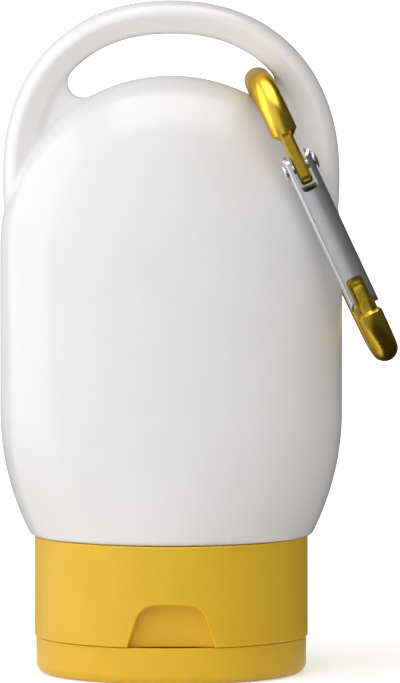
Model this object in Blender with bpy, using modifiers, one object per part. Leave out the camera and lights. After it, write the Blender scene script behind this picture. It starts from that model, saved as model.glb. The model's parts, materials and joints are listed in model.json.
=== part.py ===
"""A sunscreen bottle that stands upside down on its flip-top cap, with a moulded handle over its domed
end and a small carabiner through the handle. Metres, +Z up, -Y to the front. The origin is the
middle of the lid's flat underside."""

import math

import bmesh
import bpy
from mathutils import Matrix, Vector

MM = 0.001

# Bottle: the moulded body, its handle and its neck
BODY_HALF_WIDTH = 25.4 * MM
BODY_HALF_DEPTH = 19.7 * MM
BODY_TAPER_SHARE = 0.2
BASE_HALF_WIDTH = 20.9 * MM
BASE_HEIGHT = 20.8 * MM
BASE_FILLET = 1.0 * MM
WAIST_HEIGHT = 39.0 * MM
DOME_HEIGHT = 63.4 * MM
BODY_WALL = 1.1 * MM
SLOT_HEIGHT = 6.2 * MM
HANDLE_BAR = 5.0 * MM
HANDLE_DEPTH = 7.0 * MM
HANDLE_RIDGE_INSET = 1.9 * MM
HANDLE_RIM_DEPTH = 3.4 * MM
HANDLE_RIM_EDGE = 0.6 * MM
HANDLE_SET_IN = 0.4 * MM
HANDLE_SPRING_RISE = 10.6 * MM
HANDLE_FOOT_DROP = 1.4 * MM
HANDLE_FOOT_LEAN = 2.6 * MM
WEB_THICKNESS = 2.0 * MM
NECK_RADIUS = 11.1 * MM
NECK_WALL = 1.4 * MM
NECK_BEAD_REACH = 1.8 * MM
NECK_BEAD_HEIGHT = 1.0 * MM
NECK_BEAD_DROP = 0.9 * MM

# Cap: the closure base that screws on the neck, and the flip lid under it
CAP_RADIUS = 20.3 * MM
CAP_WALL = 1.1 * MM
CAP_EDGE = 0.6 * MM
CAP_LEAD = 0.3 * MM
DECK_THICKNESS = 1.3 * MM
INNER_SKIRT_CLEARANCE = 1.2 * MM
INNER_SKIRT_WALL = 1.2 * MM
PLUG_RING_WALL = 0.8 * MM
PLUG_RING_HEIGHT = 2.6 * MM
SPOUT_RADIUS = 4.0 * MM
SPOUT_BORE = 1.7 * MM
SPOUT_DROP = 2.2 * MM
LID_SET_BACK = 0.25 * MM
LID_HEIGHT = 5.35 * MM
LID_FLOOR = 1.2 * MM
LID_CORNER = 1.5 * MM
LID_PIN_REACH = 1.4 * MM
SEAM_GAP = 0.25 * MM
RECESS_SEAM_WIDTH = 12.9 * MM
RECESS_TOP_WIDTH = 10.6 * MM
RECESS_HEIGHT = 6.3 * MM
RECESS_CORNER = 3.2 * MM
RECESS_SIDE_LEAN = 10
RECESS_DEPTH = 2.5 * MM
RECESS_FILLET = 0.5 * MM
PAD_WALL = 1.2 * MM
LID_PAD_DROP = 0.2 * MM
LINER_THICKNESS = 0.8 * MM

# Film hinge at the back of the cap
HINGE_FLAT_DEPTH = 1.2 * MM
HINGE_FLAT_HEIGHT = 3.4 * MM
FILM_RADIUS = 0.3 * MM
FILM_LENGTH = 4.2 * MM
FILM_SPACING = 6.4 * MM

# Carabiner: rod frame, folded gate, rivet and spring
ROD_RADIUS = 2.0 * MM
RING_LENGTH = 43.2 * MM
RING_LEAN = math.radians(25.0)
RING_TWIST = math.radians(2.6)
RING_TOP_BEND = 7.0 * MM
RING_FOOT_BEND = 8.5 * MM
HOOK_BEND = 6.0 * MM
ROD_END_STRAIGHT = 0.4 * MM
ROD_CHAMFER = 1.1 * MM
TONGUE_THICKNESS = 1.85 * MM
TONGUE_HALF_HEIGHT = 1.5 * MM
TONGUE_ROOT = 2.0 * MM
TONGUE_REACH = 2.5 * MM
NOSE_REACH = 4.2 * MM
RIVET_REACH = 5.55 * MM
RIVET_RADIUS = 0.8 * MM
RIVET_HEAD_RADIUS = 1.35 * MM
RIVET_HEAD_HEIGHT = 0.45 * MM
GATE_SHEET = 0.7 * MM
GATE_SIDE_GAP = 0.525 * MM
GATE_BEND = 0.9 * MM
GATE_WEB_RISE = 2.1 * MM
GATE_CHEEK_DROP = 1.9 * MM
GATE_EAR_RADIUS = 2.2 * MM
GATE_NOTCH_REACH = 3.75 * MM
GATE_NOSE_LEAD = 0.8 * MM
GATE_TIP_SLANT = 1.2 * MM
GATE_STANDOFF = 1.7 * MM
NOTCH_LEDGE = 0.15 * MM
SPRING_WIRE = 0.3 * MM
SPRING_LENGTH = 7.0 * MM

# Clearances between pieces
FIT_GAP = 0.3 * MM
RIVET_GAP = 0.2 * MM
CUT_OVERRUN = 2.0 * MM

# Fineness of the round shapes
BODY_SIDES = 44
CAVITY_SIDES = 28
CAP_STEPS = 56
LID_STEPS = 56
SMALL_STEPS = 24
WELD_DISTANCE = 0.001 * MM

# Heights and radii that follow from the sizes above
DOME_TOP = DOME_HEIGHT + BODY_HALF_WIDTH
HANDLE_TOP = DOME_TOP + SLOT_HEIGHT + HANDLE_BAR
HANDLE_HEIGHT = DOME_HEIGHT + HANDLE_SPRING_RISE
HANDLE_FOOT_HEIGHT = DOME_HEIGHT - HANDLE_FOOT_DROP
HANDLE_HALF_WIDTH = BODY_HALF_WIDTH - HANDLE_SET_IN
NECK_BORE = NECK_RADIUS - NECK_WALL
BEAD_TOP = BASE_HEIGHT - NECK_BEAD_DROP
BEAD_FOOT = BEAD_TOP - NECK_BEAD_HEIGHT
CAP_TOP = BASE_HEIGHT - FIT_GAP
INNER_SKIRT_TOP = BEAD_FOOT - 2 * FIT_GAP
LID_RADIUS = CAP_RADIUS - LID_SET_BACK
SEAM_HEIGHT = LID_HEIGHT + SEAM_GAP / 2
DECK_UNDERSIDE = LID_HEIGHT + SEAM_GAP
DECK_TOP = DECK_UNDERSIDE + DECK_THICKNESS
NECK_LAND = DECK_TOP + LINER_THICKNESS + 2 * FIT_GAP
HINGE_FLAT_PLACE = CAP_RADIUS - HINGE_FLAT_DEPTH
HINGE_PLACE = HINGE_FLAT_PLACE + FILM_RADIUS + SEAM_GAP
ROD_END = RING_TOP_BEND + ROD_END_STRAIGHT
RIVET_PLACE = ROD_END + RIVET_REACH
TONGUE_END = RIVET_PLACE + TONGUE_REACH
HOOK_END = RING_LENGTH - HOOK_BEND - ROD_CHAMFER
NOSE_TIP = HOOK_END - NOSE_REACH
GATE_HALF_WIDTH = TONGUE_THICKNESS / 2 + GATE_SIDE_GAP + GATE_SHEET
GATE_WEB_TOP = RIVET_PLACE + GATE_NOTCH_REACH
GATE_WEB_FOOT = NOSE_TIP - GATE_NOSE_LEAD
GATE_TIP = HOOK_END - FIT_GAP


def clear_scene():
    for obj in list(bpy.data.objects):
        bpy.data.objects.remove(obj, do_unlink=True)


def new_collection(name):
    collection = bpy.data.collections.new(name)
    bpy.context.scene.collection.children.link(collection)
    return collection


clear_scene()
PIECES = new_collection("sunscreen_bottle")
CUTTERS = new_collection("cutters")


def plain_material(name, colour, roughness, metallic=0.0):
    material = bpy.data.materials.new(name)
    material.use_nodes = True
    shader = material.node_tree.nodes["Principled BSDF"]
    shader.inputs["Base Color"].default_value = (*colour, 1.0)
    shader.inputs["Roughness"].default_value = roughness
    shader.inputs["Metallic"].default_value = metallic
    return material


def shade_round(mesh, sharp_degrees=40):
    mesh.shade_smooth()
    mesh.set_sharp_from_angle(angle=math.radians(sharp_degrees))


def piece(name, mesh, material):
    """A visible sub-part of the bottle, shaded smooth over its round faces."""
    mesh.name = name
    mesh.materials.clear()
    mesh.materials.append(material)
    shade_round(mesh)
    obj = bpy.data.objects.new(name, mesh)
    PIECES.objects.link(obj)
    return obj


def tool(name, mesh):
    """A hidden solid that is cut from a piece or joined to it."""
    obj = bpy.data.objects.new(name, mesh)
    obj.hide_render = True
    obj.display_type = "WIRE"
    CUTTERS.objects.link(obj)
    return obj


def work(obj, helper, operation, solver="EXACT"):
    """Cuts the helper from obj, or joins it on, with a modifier that stays on the object."""
    change = obj.modifiers.new(f"{operation.lower()} {helper.name}", "BOOLEAN")
    change.operation = operation
    change.object = helper
    change.solver = solver


def face_outward(bm):
    bmesh.ops.recalc_face_normals(bm, faces=bm.faces)
    if bm.calc_volume(signed=True) < 0.0:
        bmesh.ops.reverse_faces(bm, faces=bm.faces)


def mesh_of(bm):
    face_outward(bm)
    mesh = bpy.data.meshes.new("shape")
    bm.to_mesh(mesh)
    bm.free()
    return mesh


def turned_mesh(profile, steps, closed=True):
    """The profile, (radius, height) points that run down the outer side, turned about Z."""
    mesh = bpy.data.meshes.new("profile")
    edges = [(index, index + 1) for index in range(len(profile) - 1)]
    if closed:
        edges.append((len(profile) - 1, 0))
    mesh.from_pydata([(radius, 0.0, height) for radius, height in profile], edges, [])
    obj = tool("turned profile", mesh)
    screw = obj.modifiers.new("turn", "SCREW")
    screw.axis = "Z"
    screw.steps = steps
    screw.render_steps = steps
    screw.use_merge_vertices = True
    screw.merge_threshold = WELD_DISTANCE
    return baked(obj)


def baked(obj):
    """The object's evaluated mesh, welded, in world space; the object itself is removed."""
    bpy.context.view_layer.update()
    graph = bpy.context.evaluated_depsgraph_get()
    mesh = bpy.data.meshes.new_from_object(obj.evaluated_get(graph))
    mesh.transform(obj.matrix_world)
    bpy.data.objects.remove(obj, do_unlink=True)
    bm = bmesh.new()
    bm.from_mesh(mesh)
    bmesh.ops.remove_doubles(bm, verts=bm.verts, dist=WELD_DISTANCE)
    face_outward(bm)
    bm.to_mesh(mesh)
    bm.free()
    return mesh


def plate_mesh(outline, thickness, edge=0.0, edge_steps=2, place=None):
    """A flat outline of (x, y) points made into a plate, its edges rounded outward by edge."""
    curve = bpy.data.curves.new("outline", "CURVE")
    curve.dimensions = "2D"
    curve.fill_mode = "BOTH"
    curve.extrude = thickness / 2 - edge
    curve.bevel_depth = edge
    curve.bevel_resolution = edge_steps
    spline = curve.splines.new("POLY")
    spline.points.add(len(outline) - 1)
    spline.use_cyclic_u = True
    for point, (x, y) in zip(spline.points, outline):
        point.co = (x, y, 0.0, 1.0)
    obj = bpy.data.objects.new("outline", curve)
    CUTTERS.objects.link(obj)
    if place is not None:
        obj.matrix_world = place
    return baked(obj)


def wire_mesh(path, radius, sides=2, radius_shares=None):
    """A round wire along the path; the shares thin it at chosen points."""
    curve = bpy.data.curves.new("wire", "CURVE")
    curve.dimensions = "3D"
    curve.bevel_depth = radius
    curve.bevel_resolution = sides
    curve.use_fill_caps = True
    spline = curve.splines.new("POLY")
    spline.points.add(len(path) - 1)
    for index, place in enumerate(path):
        spline.points[index].co = (*place, 1.0)
        spline.points[index].radius = radius_shares[index] if radius_shares else 1.0
    obj = bpy.data.objects.new("wire", curve)
    CUTTERS.objects.link(obj)
    return baked(obj)


def loft_mesh(rings):
    """A skin over rings of points, flat at each end, or drawn to a pole where the last ring is one point."""
    bm = bmesh.new()
    rows = [[bm.verts.new(point) for point in ring] for ring in rings]
    for lower, upper in zip(rows, rows[1:]):
        for side in range(len(lower)):
            after = (side + 1) % len(lower)
            if len(upper) == 1:
                bm.faces.new((lower[side], lower[after], upper[0]))
            else:
                bm.faces.new((lower[side], lower[after], upper[after], upper[side]))
    bm.faces.new(rows[0])
    if len(rows[-1]) > 1:
        bm.faces.new(rows[-1])
    return mesh_of(bm)


def block_mesh(low, high):
    bm = bmesh.new()
    bmesh.ops.create_cube(bm, size=1.0)
    low = Vector(low)
    high = Vector(high)
    place = Matrix.Translation((low + high) / 2) @ Matrix.Diagonal((*(high - low), 1.0))
    bmesh.ops.transform(bm, matrix=place, verts=bm.verts)
    return mesh_of(bm)


def rod_mesh(radius, length, place, steps=SMALL_STEPS):
    """A plain cylinder about its own Z, moved to its place."""
    bm = bmesh.new()
    size = {"radius1": radius, "radius2": radius, "depth": length}
    bmesh.ops.create_cone(bm, cap_ends=True, segments=steps, matrix=place, **size)
    return mesh_of(bm)


def arc(centre, radius, start, end, steps):
    """Points on a circle, from one angle in degrees to another."""
    x, y = centre
    turns = [math.radians(start + (end - start) * step / steps) for step in range(steps + 1)]
    return [(x + radius * math.cos(turn), y + radius * math.sin(turn)) for turn in turns]


LYING_ON_X = Matrix.Rotation(math.pi / 2, 4, "Y")
UPRIGHT = Matrix.Rotation(math.pi / 2, 4, "X")


# The bottle's body: a loft from a round base through a wide waist to a dome

def half_width(height, inset=0.0):
    radius = BODY_HALF_WIDTH - inset
    if height > DOME_HEIGHT:
        return math.sqrt(max(radius**2 - (height - DOME_HEIGHT) ** 2, 0.0))
    if height > WAIST_HEIGHT:
        return radius
    rise = WAIST_HEIGHT - BASE_HEIGHT
    narrowing = BODY_HALF_WIDTH - BASE_HALF_WIDTH
    sweep = (rise**2 + narrowing**2) / (2 * narrowing)
    return radius - sweep + math.sqrt(sweep**2 - (WAIST_HEIGHT - height) ** 2)


def half_depth(height, inset=0.0):
    """The front and the back lean together in a straight wedge, then close over the dome."""
    share = (height - BASE_HEIGHT) / (DOME_HEIGHT - BASE_HEIGHT)
    wedge = BODY_HALF_DEPTH * (1.0 - BODY_TAPER_SHARE * share) - inset
    if height <= DOME_HEIGHT:
        return wedge
    radius = BODY_HALF_WIDTH - inset
    return wedge * math.sqrt(max(1.0 - ((height - DOME_HEIGHT) / radius) ** 2, 0.0))


def smooth_share(value, low, high):
    share = min(max((value - low) / (high - low), 0.0), 1.0)
    return share * share * (3.0 - 2.0 * share)


ROUND_POWER = 2.0
SQUARE_POWER = 2.35


def section_power(height):
    """How square the section is: round at the base and the top, a little squarer between."""
    rising = smooth_share(height, BASE_HEIGHT, WAIST_HEIGHT)
    falling = smooth_share(height, DOME_HEIGHT - (DOME_HEIGHT - WAIST_HEIGHT) / 2, DOME_TOP)
    return ROUND_POWER + (SQUARE_POWER - ROUND_POWER) * (rising - falling)


def section_point(wide, deep, power, turn):
    across = math.copysign(abs(math.cos(turn)) ** (2.0 / power), math.cos(turn))
    away = math.copysign(abs(math.sin(turn)) ** (2.0 / power), math.sin(turn))
    return wide * across, deep * away


def body_loft(inset, sides, arc_steps, side_steps, dome_steps, fillet_steps):
    """The body, or its cavity when inset by the wall."""
    foot = BASE_HEIGHT + inset
    fillet = BASE_FILLET
    stations = []
    for step in range(fillet_steps):
        turn = math.pi / 2 * step / fillet_steps
        stations.append((foot + fillet * (1.0 - math.cos(turn)), fillet * (1.0 - math.sin(turn))))
    start = foot + fillet
    stations += [(start + (WAIST_HEIGHT - start) * step / arc_steps, 0.0) for step in range(arc_steps)]
    rise = DOME_HEIGHT - WAIST_HEIGHT
    stations += [(WAIST_HEIGHT + rise * step / side_steps, 0.0) for step in range(side_steps)]
    radius = BODY_HALF_WIDTH - inset
    for step in range(dome_steps):
        stations.append((DOME_HEIGHT + radius * math.sin(math.pi / 2 * step / dome_steps), 0.0))
    rings = []
    for height, drawn_in in stations:
        wide = half_width(height, inset) - drawn_in
        deep = half_depth(height, inset) - drawn_in
        power = section_power(height)
        turns = [2 * math.pi * side / sides for side in range(sides)]
        rings.append([section_point(wide, deep, power, turn) + (height,) for turn in turns])
    rings.append([(0.0, 0.0, DOME_HEIGHT + radius)])
    return loft_mesh(rings)


def outside_body(point, clearance):
    """Whether a point lies outside the body, by about the clearance."""
    if point.z > DOME_TOP + clearance:
        return True
    height = min(point.z, DOME_TOP - clearance)
    wide = half_width(height) + clearance
    deep = half_depth(height) + clearance
    power = section_power(height)
    return (abs(point.x) / wide) ** power + (abs(point.y) / deep) ** power >= 1.0


# The handle: an arch of even width over the dome, its outer face crowned up to a ridge on the front
# and the back, from which the bar thins to the slot, with a thin web below each end of the slot

HANDLE_POWER = 2.2
HANDLE_RISE = HANDLE_TOP - HANDLE_HEIGHT


def handle_point(turn, inset):
    """A point on the arch, set in from its outer edge; turn 0 is the right-hand spring of the arch."""
    wide = HANDLE_HALF_WIDTH
    share = 2.0 / HANDLE_POWER
    cos = math.cos(turn)
    sin = math.sin(turn)
    x = wide * math.copysign(abs(cos) ** share, cos)
    z = HANDLE_RISE * abs(sin) ** share
    normal_x = math.copysign(abs(cos) ** (2.0 - share), cos) / wide
    normal_z = abs(sin) ** (2.0 - share) / HANDLE_RISE
    size = math.hypot(normal_x, normal_z)
    return x - inset * normal_x / size, HANDLE_HEIGHT + z - inset * normal_z / size


def handle_leg(share, inset):
    """A point on the right leg, which leans in as it sinks into the shoulder."""
    height = HANDLE_HEIGHT - (HANDLE_HEIGHT - HANDLE_FOOT_HEIGHT) * share
    return HANDLE_HALF_WIDTH - inset - HANDLE_FOOT_LEAN * share**3, height


ARCH_STEPS = 36
LEG_STEPS = 5


def handle_edge(inset):
    """One long edge of the handle, from the right foot over the arch to the left foot."""
    right = [handle_leg(step / LEG_STEPS, inset) for step in range(LEG_STEPS, 0, -1)]
    over = [handle_point(math.pi * step / ARCH_STEPS, inset) for step in range(ARCH_STEPS + 1)]
    left = [(-x, z) for x, z in reversed(right)]
    return right + over + left


CROWN_STEPS = 4


def handle_section():
    """The bar's section as (inset, depth) points, round the front from the outer edge and back."""
    ridge = HANDLE_DEPTH / 2
    rim = HANDLE_RIM_DEPTH / 2
    front = []
    for step in range(CROWN_STEPS + 1):
        turn = math.pi / 2 * step / CROWN_STEPS
        front.append((HANDLE_RIDGE_INSET * (1.0 - math.cos(turn)), ridge * math.sin(turn)))
    front.append((HANDLE_BAR - HANDLE_RIM_EDGE, rim))
    front.append((HANDLE_BAR, rim - HANDLE_RIM_EDGE))
    return front + [(inset, -depth) for inset, depth in reversed(front[1:])]


def handle_mesh():
    edges = []
    for inset, depth in handle_section():
        edges.append([(x, depth, z) for x, z in handle_edge(inset)])
    return loft_mesh(list(zip(*edges)))


def snug_turn():
    """Where along the slot the rod comes to rest, its clearance the same to the bar and the dome."""
    low = 0.0
    high = math.pi / 2
    reach = HANDLE_BAR + ROD_RADIUS + FIT_GAP
    for _ in range(40):
        turn = (low + high) / 2
        x, z = handle_point(turn, reach)
        if math.hypot(x, z - DOME_HEIGHT) > BODY_HALF_WIDTH + ROD_RADIUS + FIT_GAP:
            high = turn
        else:
            low = turn
    return high


SLOT_END_TURN = snug_turn()
SLOT_END = handle_point(SLOT_END_TURN, HANDLE_BAR + ROD_RADIUS + FIT_GAP)
SLOT_END_RADIUS = ROD_RADIUS + FIT_GAP
WEB_STEPS = 9


def web_mesh(side):
    """The web from the slot's end down the shoulder, between the handle's middle and the dome's inside."""
    dome_turn = math.atan2(SLOT_END[1] - DOME_HEIGHT, SLOT_END[0])
    inner_radius = BODY_HALF_WIDTH - BODY_WALL / 2
    low_turn = math.acos((HANDLE_HALF_WIDTH - HANDLE_BAR / 2) / inner_radius)
    outer = []
    for step in range(WEB_STEPS + 1):
        outer.append(handle_point(SLOT_END_TURN * (1.0 - step / WEB_STEPS), HANDLE_BAR / 2))
    inner = []
    for step in range(WEB_STEPS + 1):
        turn = low_turn + (dome_turn - low_turn) * step / WEB_STEPS
        inner.append((inner_radius * math.cos(turn), DOME_HEIGHT + inner_radius * math.sin(turn)))
    outline = [(side * x, z) for x, z in outer + inner]
    return plate_mesh(outline, WEB_THICKNESS, place=UPRIGHT)


def neck_mesh():
    """The neck and its bead, a plug that reaches up into the body's base."""
    bead_radius = NECK_RADIUS + NECK_BEAD_REACH
    bead_round = NECK_BEAD_HEIGHT / 4
    profile = [
        (0.0, BASE_HEIGHT + BODY_WALL / 2),
        (NECK_RADIUS, BASE_HEIGHT + BODY_WALL / 2),
        (NECK_RADIUS, BEAD_TOP),
        (bead_radius - bead_round, BEAD_TOP),
        (bead_radius, BEAD_TOP - bead_round),
        (bead_radius, BEAD_FOOT + bead_round),
        (bead_radius - bead_round, BEAD_FOOT),
        (NECK_RADIUS, BEAD_FOOT),
        (NECK_RADIUS, NECK_LAND),
        (0.0, NECK_LAND),
    ]
    return turned_mesh(profile, CAP_STEPS, closed=False)


def make_bottle_shell():
    white = plain_material("white HDPE", (0.80, 0.80, 0.79), 0.38)
    shell = piece("bottle_shell", body_loft(0.0, BODY_SIDES, 5, 3, 9, 3), white)
    work(shell, tool("handle", handle_mesh()), "UNION", "MANIFOLD")
    for label, side in (("right", 1), ("left", -1)):
        web = tool(f"{label} web", web_mesh(side))
        place = Matrix.Translation((side * SLOT_END[0], 0.0, SLOT_END[1])) @ UPRIGHT
        slot_end = tool(f"{label} slot end", rod_mesh(SLOT_END_RADIUS, HANDLE_DEPTH, place))
        work(web, slot_end, "DIFFERENCE")
        work(shell, web, "UNION", "MANIFOLD")
    work(shell, tool("neck", neck_mesh()), "UNION", "MANIFOLD")
    cavity = tool("cavity", body_loft(BODY_WALL, CAVITY_SIDES, 3, 2, 6, 2))
    work(shell, cavity, "DIFFERENCE", "MANIFOLD")
    bore_length = BASE_HEIGHT + BODY_WALL + CUT_OVERRUN - NECK_LAND + CUT_OVERRUN
    bore_place = Matrix.Translation((0.0, 0.0, NECK_LAND - CUT_OVERRUN + bore_length / 2))
    bore = tool("neck bore", rod_mesh(NECK_BORE, bore_length, bore_place, CAP_STEPS))
    work(shell, bore, "DIFFERENCE", "MANIFOLD")
    return shell


# The closure: liner, base with its thumb recess, flip lid and film hinge

def ring_profile(inner, outer, foot, top):
    return [(outer, top), (outer, foot), (inner, foot), (inner, top)]


def make_neck_liner():
    foam = plain_material("liner foam", (0.82, 0.82, 0.80), 0.7)
    foot = DECK_TOP + FIT_GAP
    profile = ring_profile(NECK_BORE, NECK_RADIUS + FIT_GAP, foot, foot + LINER_THICKNESS)
    return piece("neck_liner", turned_mesh(profile, SMALL_STEPS * 2), foam)


def closure_profile():
    """The closure base in one closed profile: outer wall, underside, spout, deck and inner skirt."""
    spout_foot = DECK_UNDERSIDE - SPOUT_DROP
    plug = NECK_BORE - FIT_GAP
    skirt = NECK_RADIUS + INNER_SKIRT_CLEARANCE
    edge_centre = (CAP_RADIUS - CAP_EDGE, CAP_TOP - CAP_EDGE)
    profile = [(CAP_RADIUS - CAP_WALL, CAP_TOP)]
    profile += arc(edge_centre, CAP_EDGE, 90, 0, 3)
    profile += [
        (CAP_RADIUS, DECK_UNDERSIDE + CAP_LEAD),
        (CAP_RADIUS - CAP_LEAD, DECK_UNDERSIDE),
        (SPOUT_RADIUS, DECK_UNDERSIDE),
        (SPOUT_RADIUS, spout_foot + CAP_LEAD),
        (SPOUT_RADIUS - CAP_LEAD, spout_foot),
        (SPOUT_BORE, spout_foot),
        (SPOUT_BORE, DECK_TOP),
        (plug - PLUG_RING_WALL, DECK_TOP),
        (plug - PLUG_RING_WALL, DECK_TOP + PLUG_RING_HEIGHT),
        (plug - CAP_LEAD, DECK_TOP + PLUG_RING_HEIGHT),
        (plug, DECK_TOP + PLUG_RING_HEIGHT - CAP_LEAD),
        (plug, DECK_TOP),
        (skirt, DECK_TOP),
        (skirt, INNER_SKIRT_TOP),
        (skirt + INNER_SKIRT_WALL, INNER_SKIRT_TOP),
        (skirt + INNER_SKIRT_WALL, DECK_TOP),
        (CAP_RADIUS - CAP_WALL, DECK_TOP),
    ]
    return profile


def lid_profile():
    pin = SPOUT_BORE - FIT_GAP
    pin_top = DECK_UNDERSIDE - SPOUT_DROP + LID_PIN_REACH
    inner = LID_RADIUS - CAP_WALL
    corner_centre = (LID_RADIUS - LID_CORNER, LID_CORNER)
    profile = [
        (0.0, pin_top),
        (pin - CAP_LEAD, pin_top),
        (pin, pin_top - CAP_LEAD),
        (pin, LID_FLOOR),
        (inner, LID_FLOOR),
        (inner, LID_HEIGHT),
        (LID_RADIUS, LID_HEIGHT),
    ]
    profile += arc(corner_centre, LID_CORNER, 0, -90, 5)
    profile.append((0.0, 0.0))
    return profile


def wall_pad(name, radius, inner_side, half_wide, foot, top):
    """A block against the inside of the round wall, the back wall of a recess or a hinge flat."""
    outer_side = math.copysign(radius, inner_side)
    low = (-half_wide, min(outer_side, inner_side), foot)
    high = (half_wide, max(outer_side, inner_side), top)
    pad = tool(name, block_mesh(low, high))
    place = Matrix.Translation((0.0, 0.0, (foot + top) / 2))
    core = rod_mesh(radius - CAP_WALL / 2, top - foot + CUT_OVERRUN, place, CAP_STEPS)
    work(pad, tool(f"{name} core", core), "INTERSECT")
    return pad


def recess_mesh():
    """The thumb recess: an arch with rounded shoulders, its back edges filleted."""
    shrink = RECESS_FILLET
    seam_half = RECESS_SEAM_WIDTH / 2 - shrink
    top_half = RECESS_TOP_WIDTH / 2 - shrink
    top = DECK_UNDERSIDE + RECESS_HEIGHT - shrink
    corner = RECESS_CORNER - shrink
    foot = SEAM_HEIGHT - CUT_OVERRUN
    right = [(seam_half, foot), (seam_half, SEAM_HEIGHT)]
    right += arc((top_half - corner, top - corner), corner, RECESS_SIDE_LEAN, 90, 6)
    outline = right + [(-x, z) for x, z in reversed(right)]
    depth = RECESS_DEPTH + CUT_OVERRUN
    place = Matrix.Translation((0.0, -CAP_RADIUS - CUT_OVERRUN + depth / 2, 0.0)) @ UPRIGHT
    return plate_mesh(outline, depth, RECESS_FILLET, 2, place)


def hinge_flat_mesh(foot, top):
    reach = CAP_RADIUS + CUT_OVERRUN
    return block_mesh((-reach, HINGE_FLAT_PLACE, foot), (reach, reach, top))


def make_closure_base():
    yellow = plain_material("yellow PP", (0.78, 0.52, 0.06), 0.35)
    base = piece("closure_base", turned_mesh(closure_profile(), CAP_STEPS), yellow)
    pad_foot = DECK_UNDERSIDE + DECK_THICKNESS / 2
    recess_back = -(CAP_RADIUS - RECESS_DEPTH - PAD_WALL)
    recess_half = RECESS_SEAM_WIDTH / 2 + PAD_WALL
    recess_top = DECK_UNDERSIDE + RECESS_HEIGHT + PAD_WALL
    work(base, wall_pad("recess pad", CAP_RADIUS, recess_back, recess_half, pad_foot, recess_top), "UNION")
    flat_top = DECK_UNDERSIDE + HINGE_FLAT_HEIGHT
    flat_back = HINGE_FLAT_PLACE - PAD_WALL
    flat_half = math.sqrt(CAP_RADIUS**2 - HINGE_FLAT_PLACE**2)
    hinge_pad = wall_pad("base hinge pad", CAP_RADIUS, flat_back, flat_half, pad_foot, flat_top + PAD_WALL)
    work(base, hinge_pad, "UNION")
    work(base, tool("thumb recess", recess_mesh()), "DIFFERENCE")
    work(base, tool("base hinge flat", hinge_flat_mesh(-CUT_OVERRUN, flat_top)), "DIFFERENCE")
    return base


def make_flip_lid():
    yellow = plain_material("yellow PP lid", (0.78, 0.52, 0.06), 0.35)
    lid = piece("flip_lid", turned_mesh(lid_profile(), LID_STEPS, closed=False), yellow)
    lip_back = -(CAP_RADIUS - RECESS_DEPTH - PAD_WALL)
    lip_half = RECESS_SEAM_WIDTH / 2 + PAD_WALL
    pad_top = LID_HEIGHT - LID_PAD_DROP
    work(lid, wall_pad("lid lip", LID_RADIUS, lip_back, lip_half, pad_top - CAP_WALL, pad_top), "UNION")
    flat_back = HINGE_FLAT_PLACE - PAD_WALL
    flat_half = math.sqrt(LID_RADIUS**2 - HINGE_FLAT_PLACE**2)
    work(lid, wall_pad("lid hinge pad", LID_RADIUS, flat_back, flat_half, LID_FLOOR / 2, pad_top), "UNION")
    work(lid, tool("lid hinge flat", hinge_flat_mesh(-CUT_OVERRUN, LID_HEIGHT + CUT_OVERRUN)), "DIFFERENCE")
    return lid


def make_film_hinges():
    yellow = plain_material("yellow PP film", (0.78, 0.52, 0.06), 0.35)
    films = []
    for label, side in (("left", -1), ("right", 1)):
        middle = Vector((side * FILM_SPACING / 2, HINGE_PLACE, SEAM_HEIGHT))
        place = Matrix.Translation(middle) @ LYING_ON_X
        films.append(piece(f"film_hinge_{label}", rod_mesh(FILM_RADIUS, FILM_LENGTH, place, 12), yellow))
    return films


# The carabiner, modelled in its own frame: X to the right across the ring's plane, Y away, Z up
# along the ring, with the origin on the rod where it lies in the slot's end

RING_PLACE = Vector((SLOT_END[0], 0.0, SLOT_END[1]))
RING_TURN = Matrix.Rotation(-RING_LEAN, 3, "Y") @ Matrix.Rotation(RING_TWIST, 3, "Z")
REACH_STATIONS = 30
REACH_TURNS = 8


def reach_past_body(side, section, clearance):
    """How far from the slot a straight side of the ring runs, so that its section clears the shoulder."""
    near = 0.0
    far = BODY_HALF_DEPTH * 2
    for _ in range(24):
        reach = (near + far) / 2
        clear = True
        for station in range(REACH_STATIONS + 1):
            along = RING_TOP_BEND + (RING_LENGTH - RING_TOP_BEND) * station / REACH_STATIONS
            for across, inward in section:
                place = Vector((across, side * (reach - inward), -along))
                if not outside_body(RING_PLACE + RING_TURN @ place, clearance):
                    clear = False
        if clear:
            far = reach
        else:
            near = reach
    return far


ROD_SECTION = arc((0.0, 0.0), ROD_RADIUS, 0, 360, REACH_TURNS)
GATE_SECTION = [(-GATE_HALF_WIDTH, GATE_CHEEK_DROP), (GATE_HALF_WIDTH, GATE_CHEEK_DROP)]
SPINE_REACH = reach_past_body(1, ROD_SECTION, FIT_GAP)
GATE_REACH = reach_past_body(-1, GATE_SECTION, FIT_GAP) + GATE_STANDOFF
BEND_STEPS = 6


def ring_path():
    """The rod's middle line as (y, along) points, from the hinge end round to the hook end."""
    front = -GATE_REACH
    back = SPINE_REACH
    path = [(front, ROD_END + ROD_CHAMFER), (front, ROD_END)]
    path += arc((front + RING_TOP_BEND, RING_TOP_BEND), RING_TOP_BEND, 180, 270, BEND_STEPS)
    path += arc((back - RING_TOP_BEND, RING_TOP_BEND), RING_TOP_BEND, 270, 360, BEND_STEPS)
    path += arc((back - RING_FOOT_BEND, RING_LENGTH - RING_FOOT_BEND), RING_FOOT_BEND, 0, 90, BEND_STEPS)
    path += arc((front + HOOK_BEND, RING_LENGTH - HOOK_BEND), HOOK_BEND, 90, 180, BEND_STEPS)
    path.append((front, HOOK_END))
    return path


def side_plate(outline, thickness):
    """A plate in the ring's plane, from an outline of (height above the gate's line, along) points."""
    place = Matrix(((0, 0, 1, 0), (1, 0, 0, -GATE_REACH), (0, -1, 0, 0), (0, 0, 0, 1)))
    return plate_mesh(outline, thickness, place=place)


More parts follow.
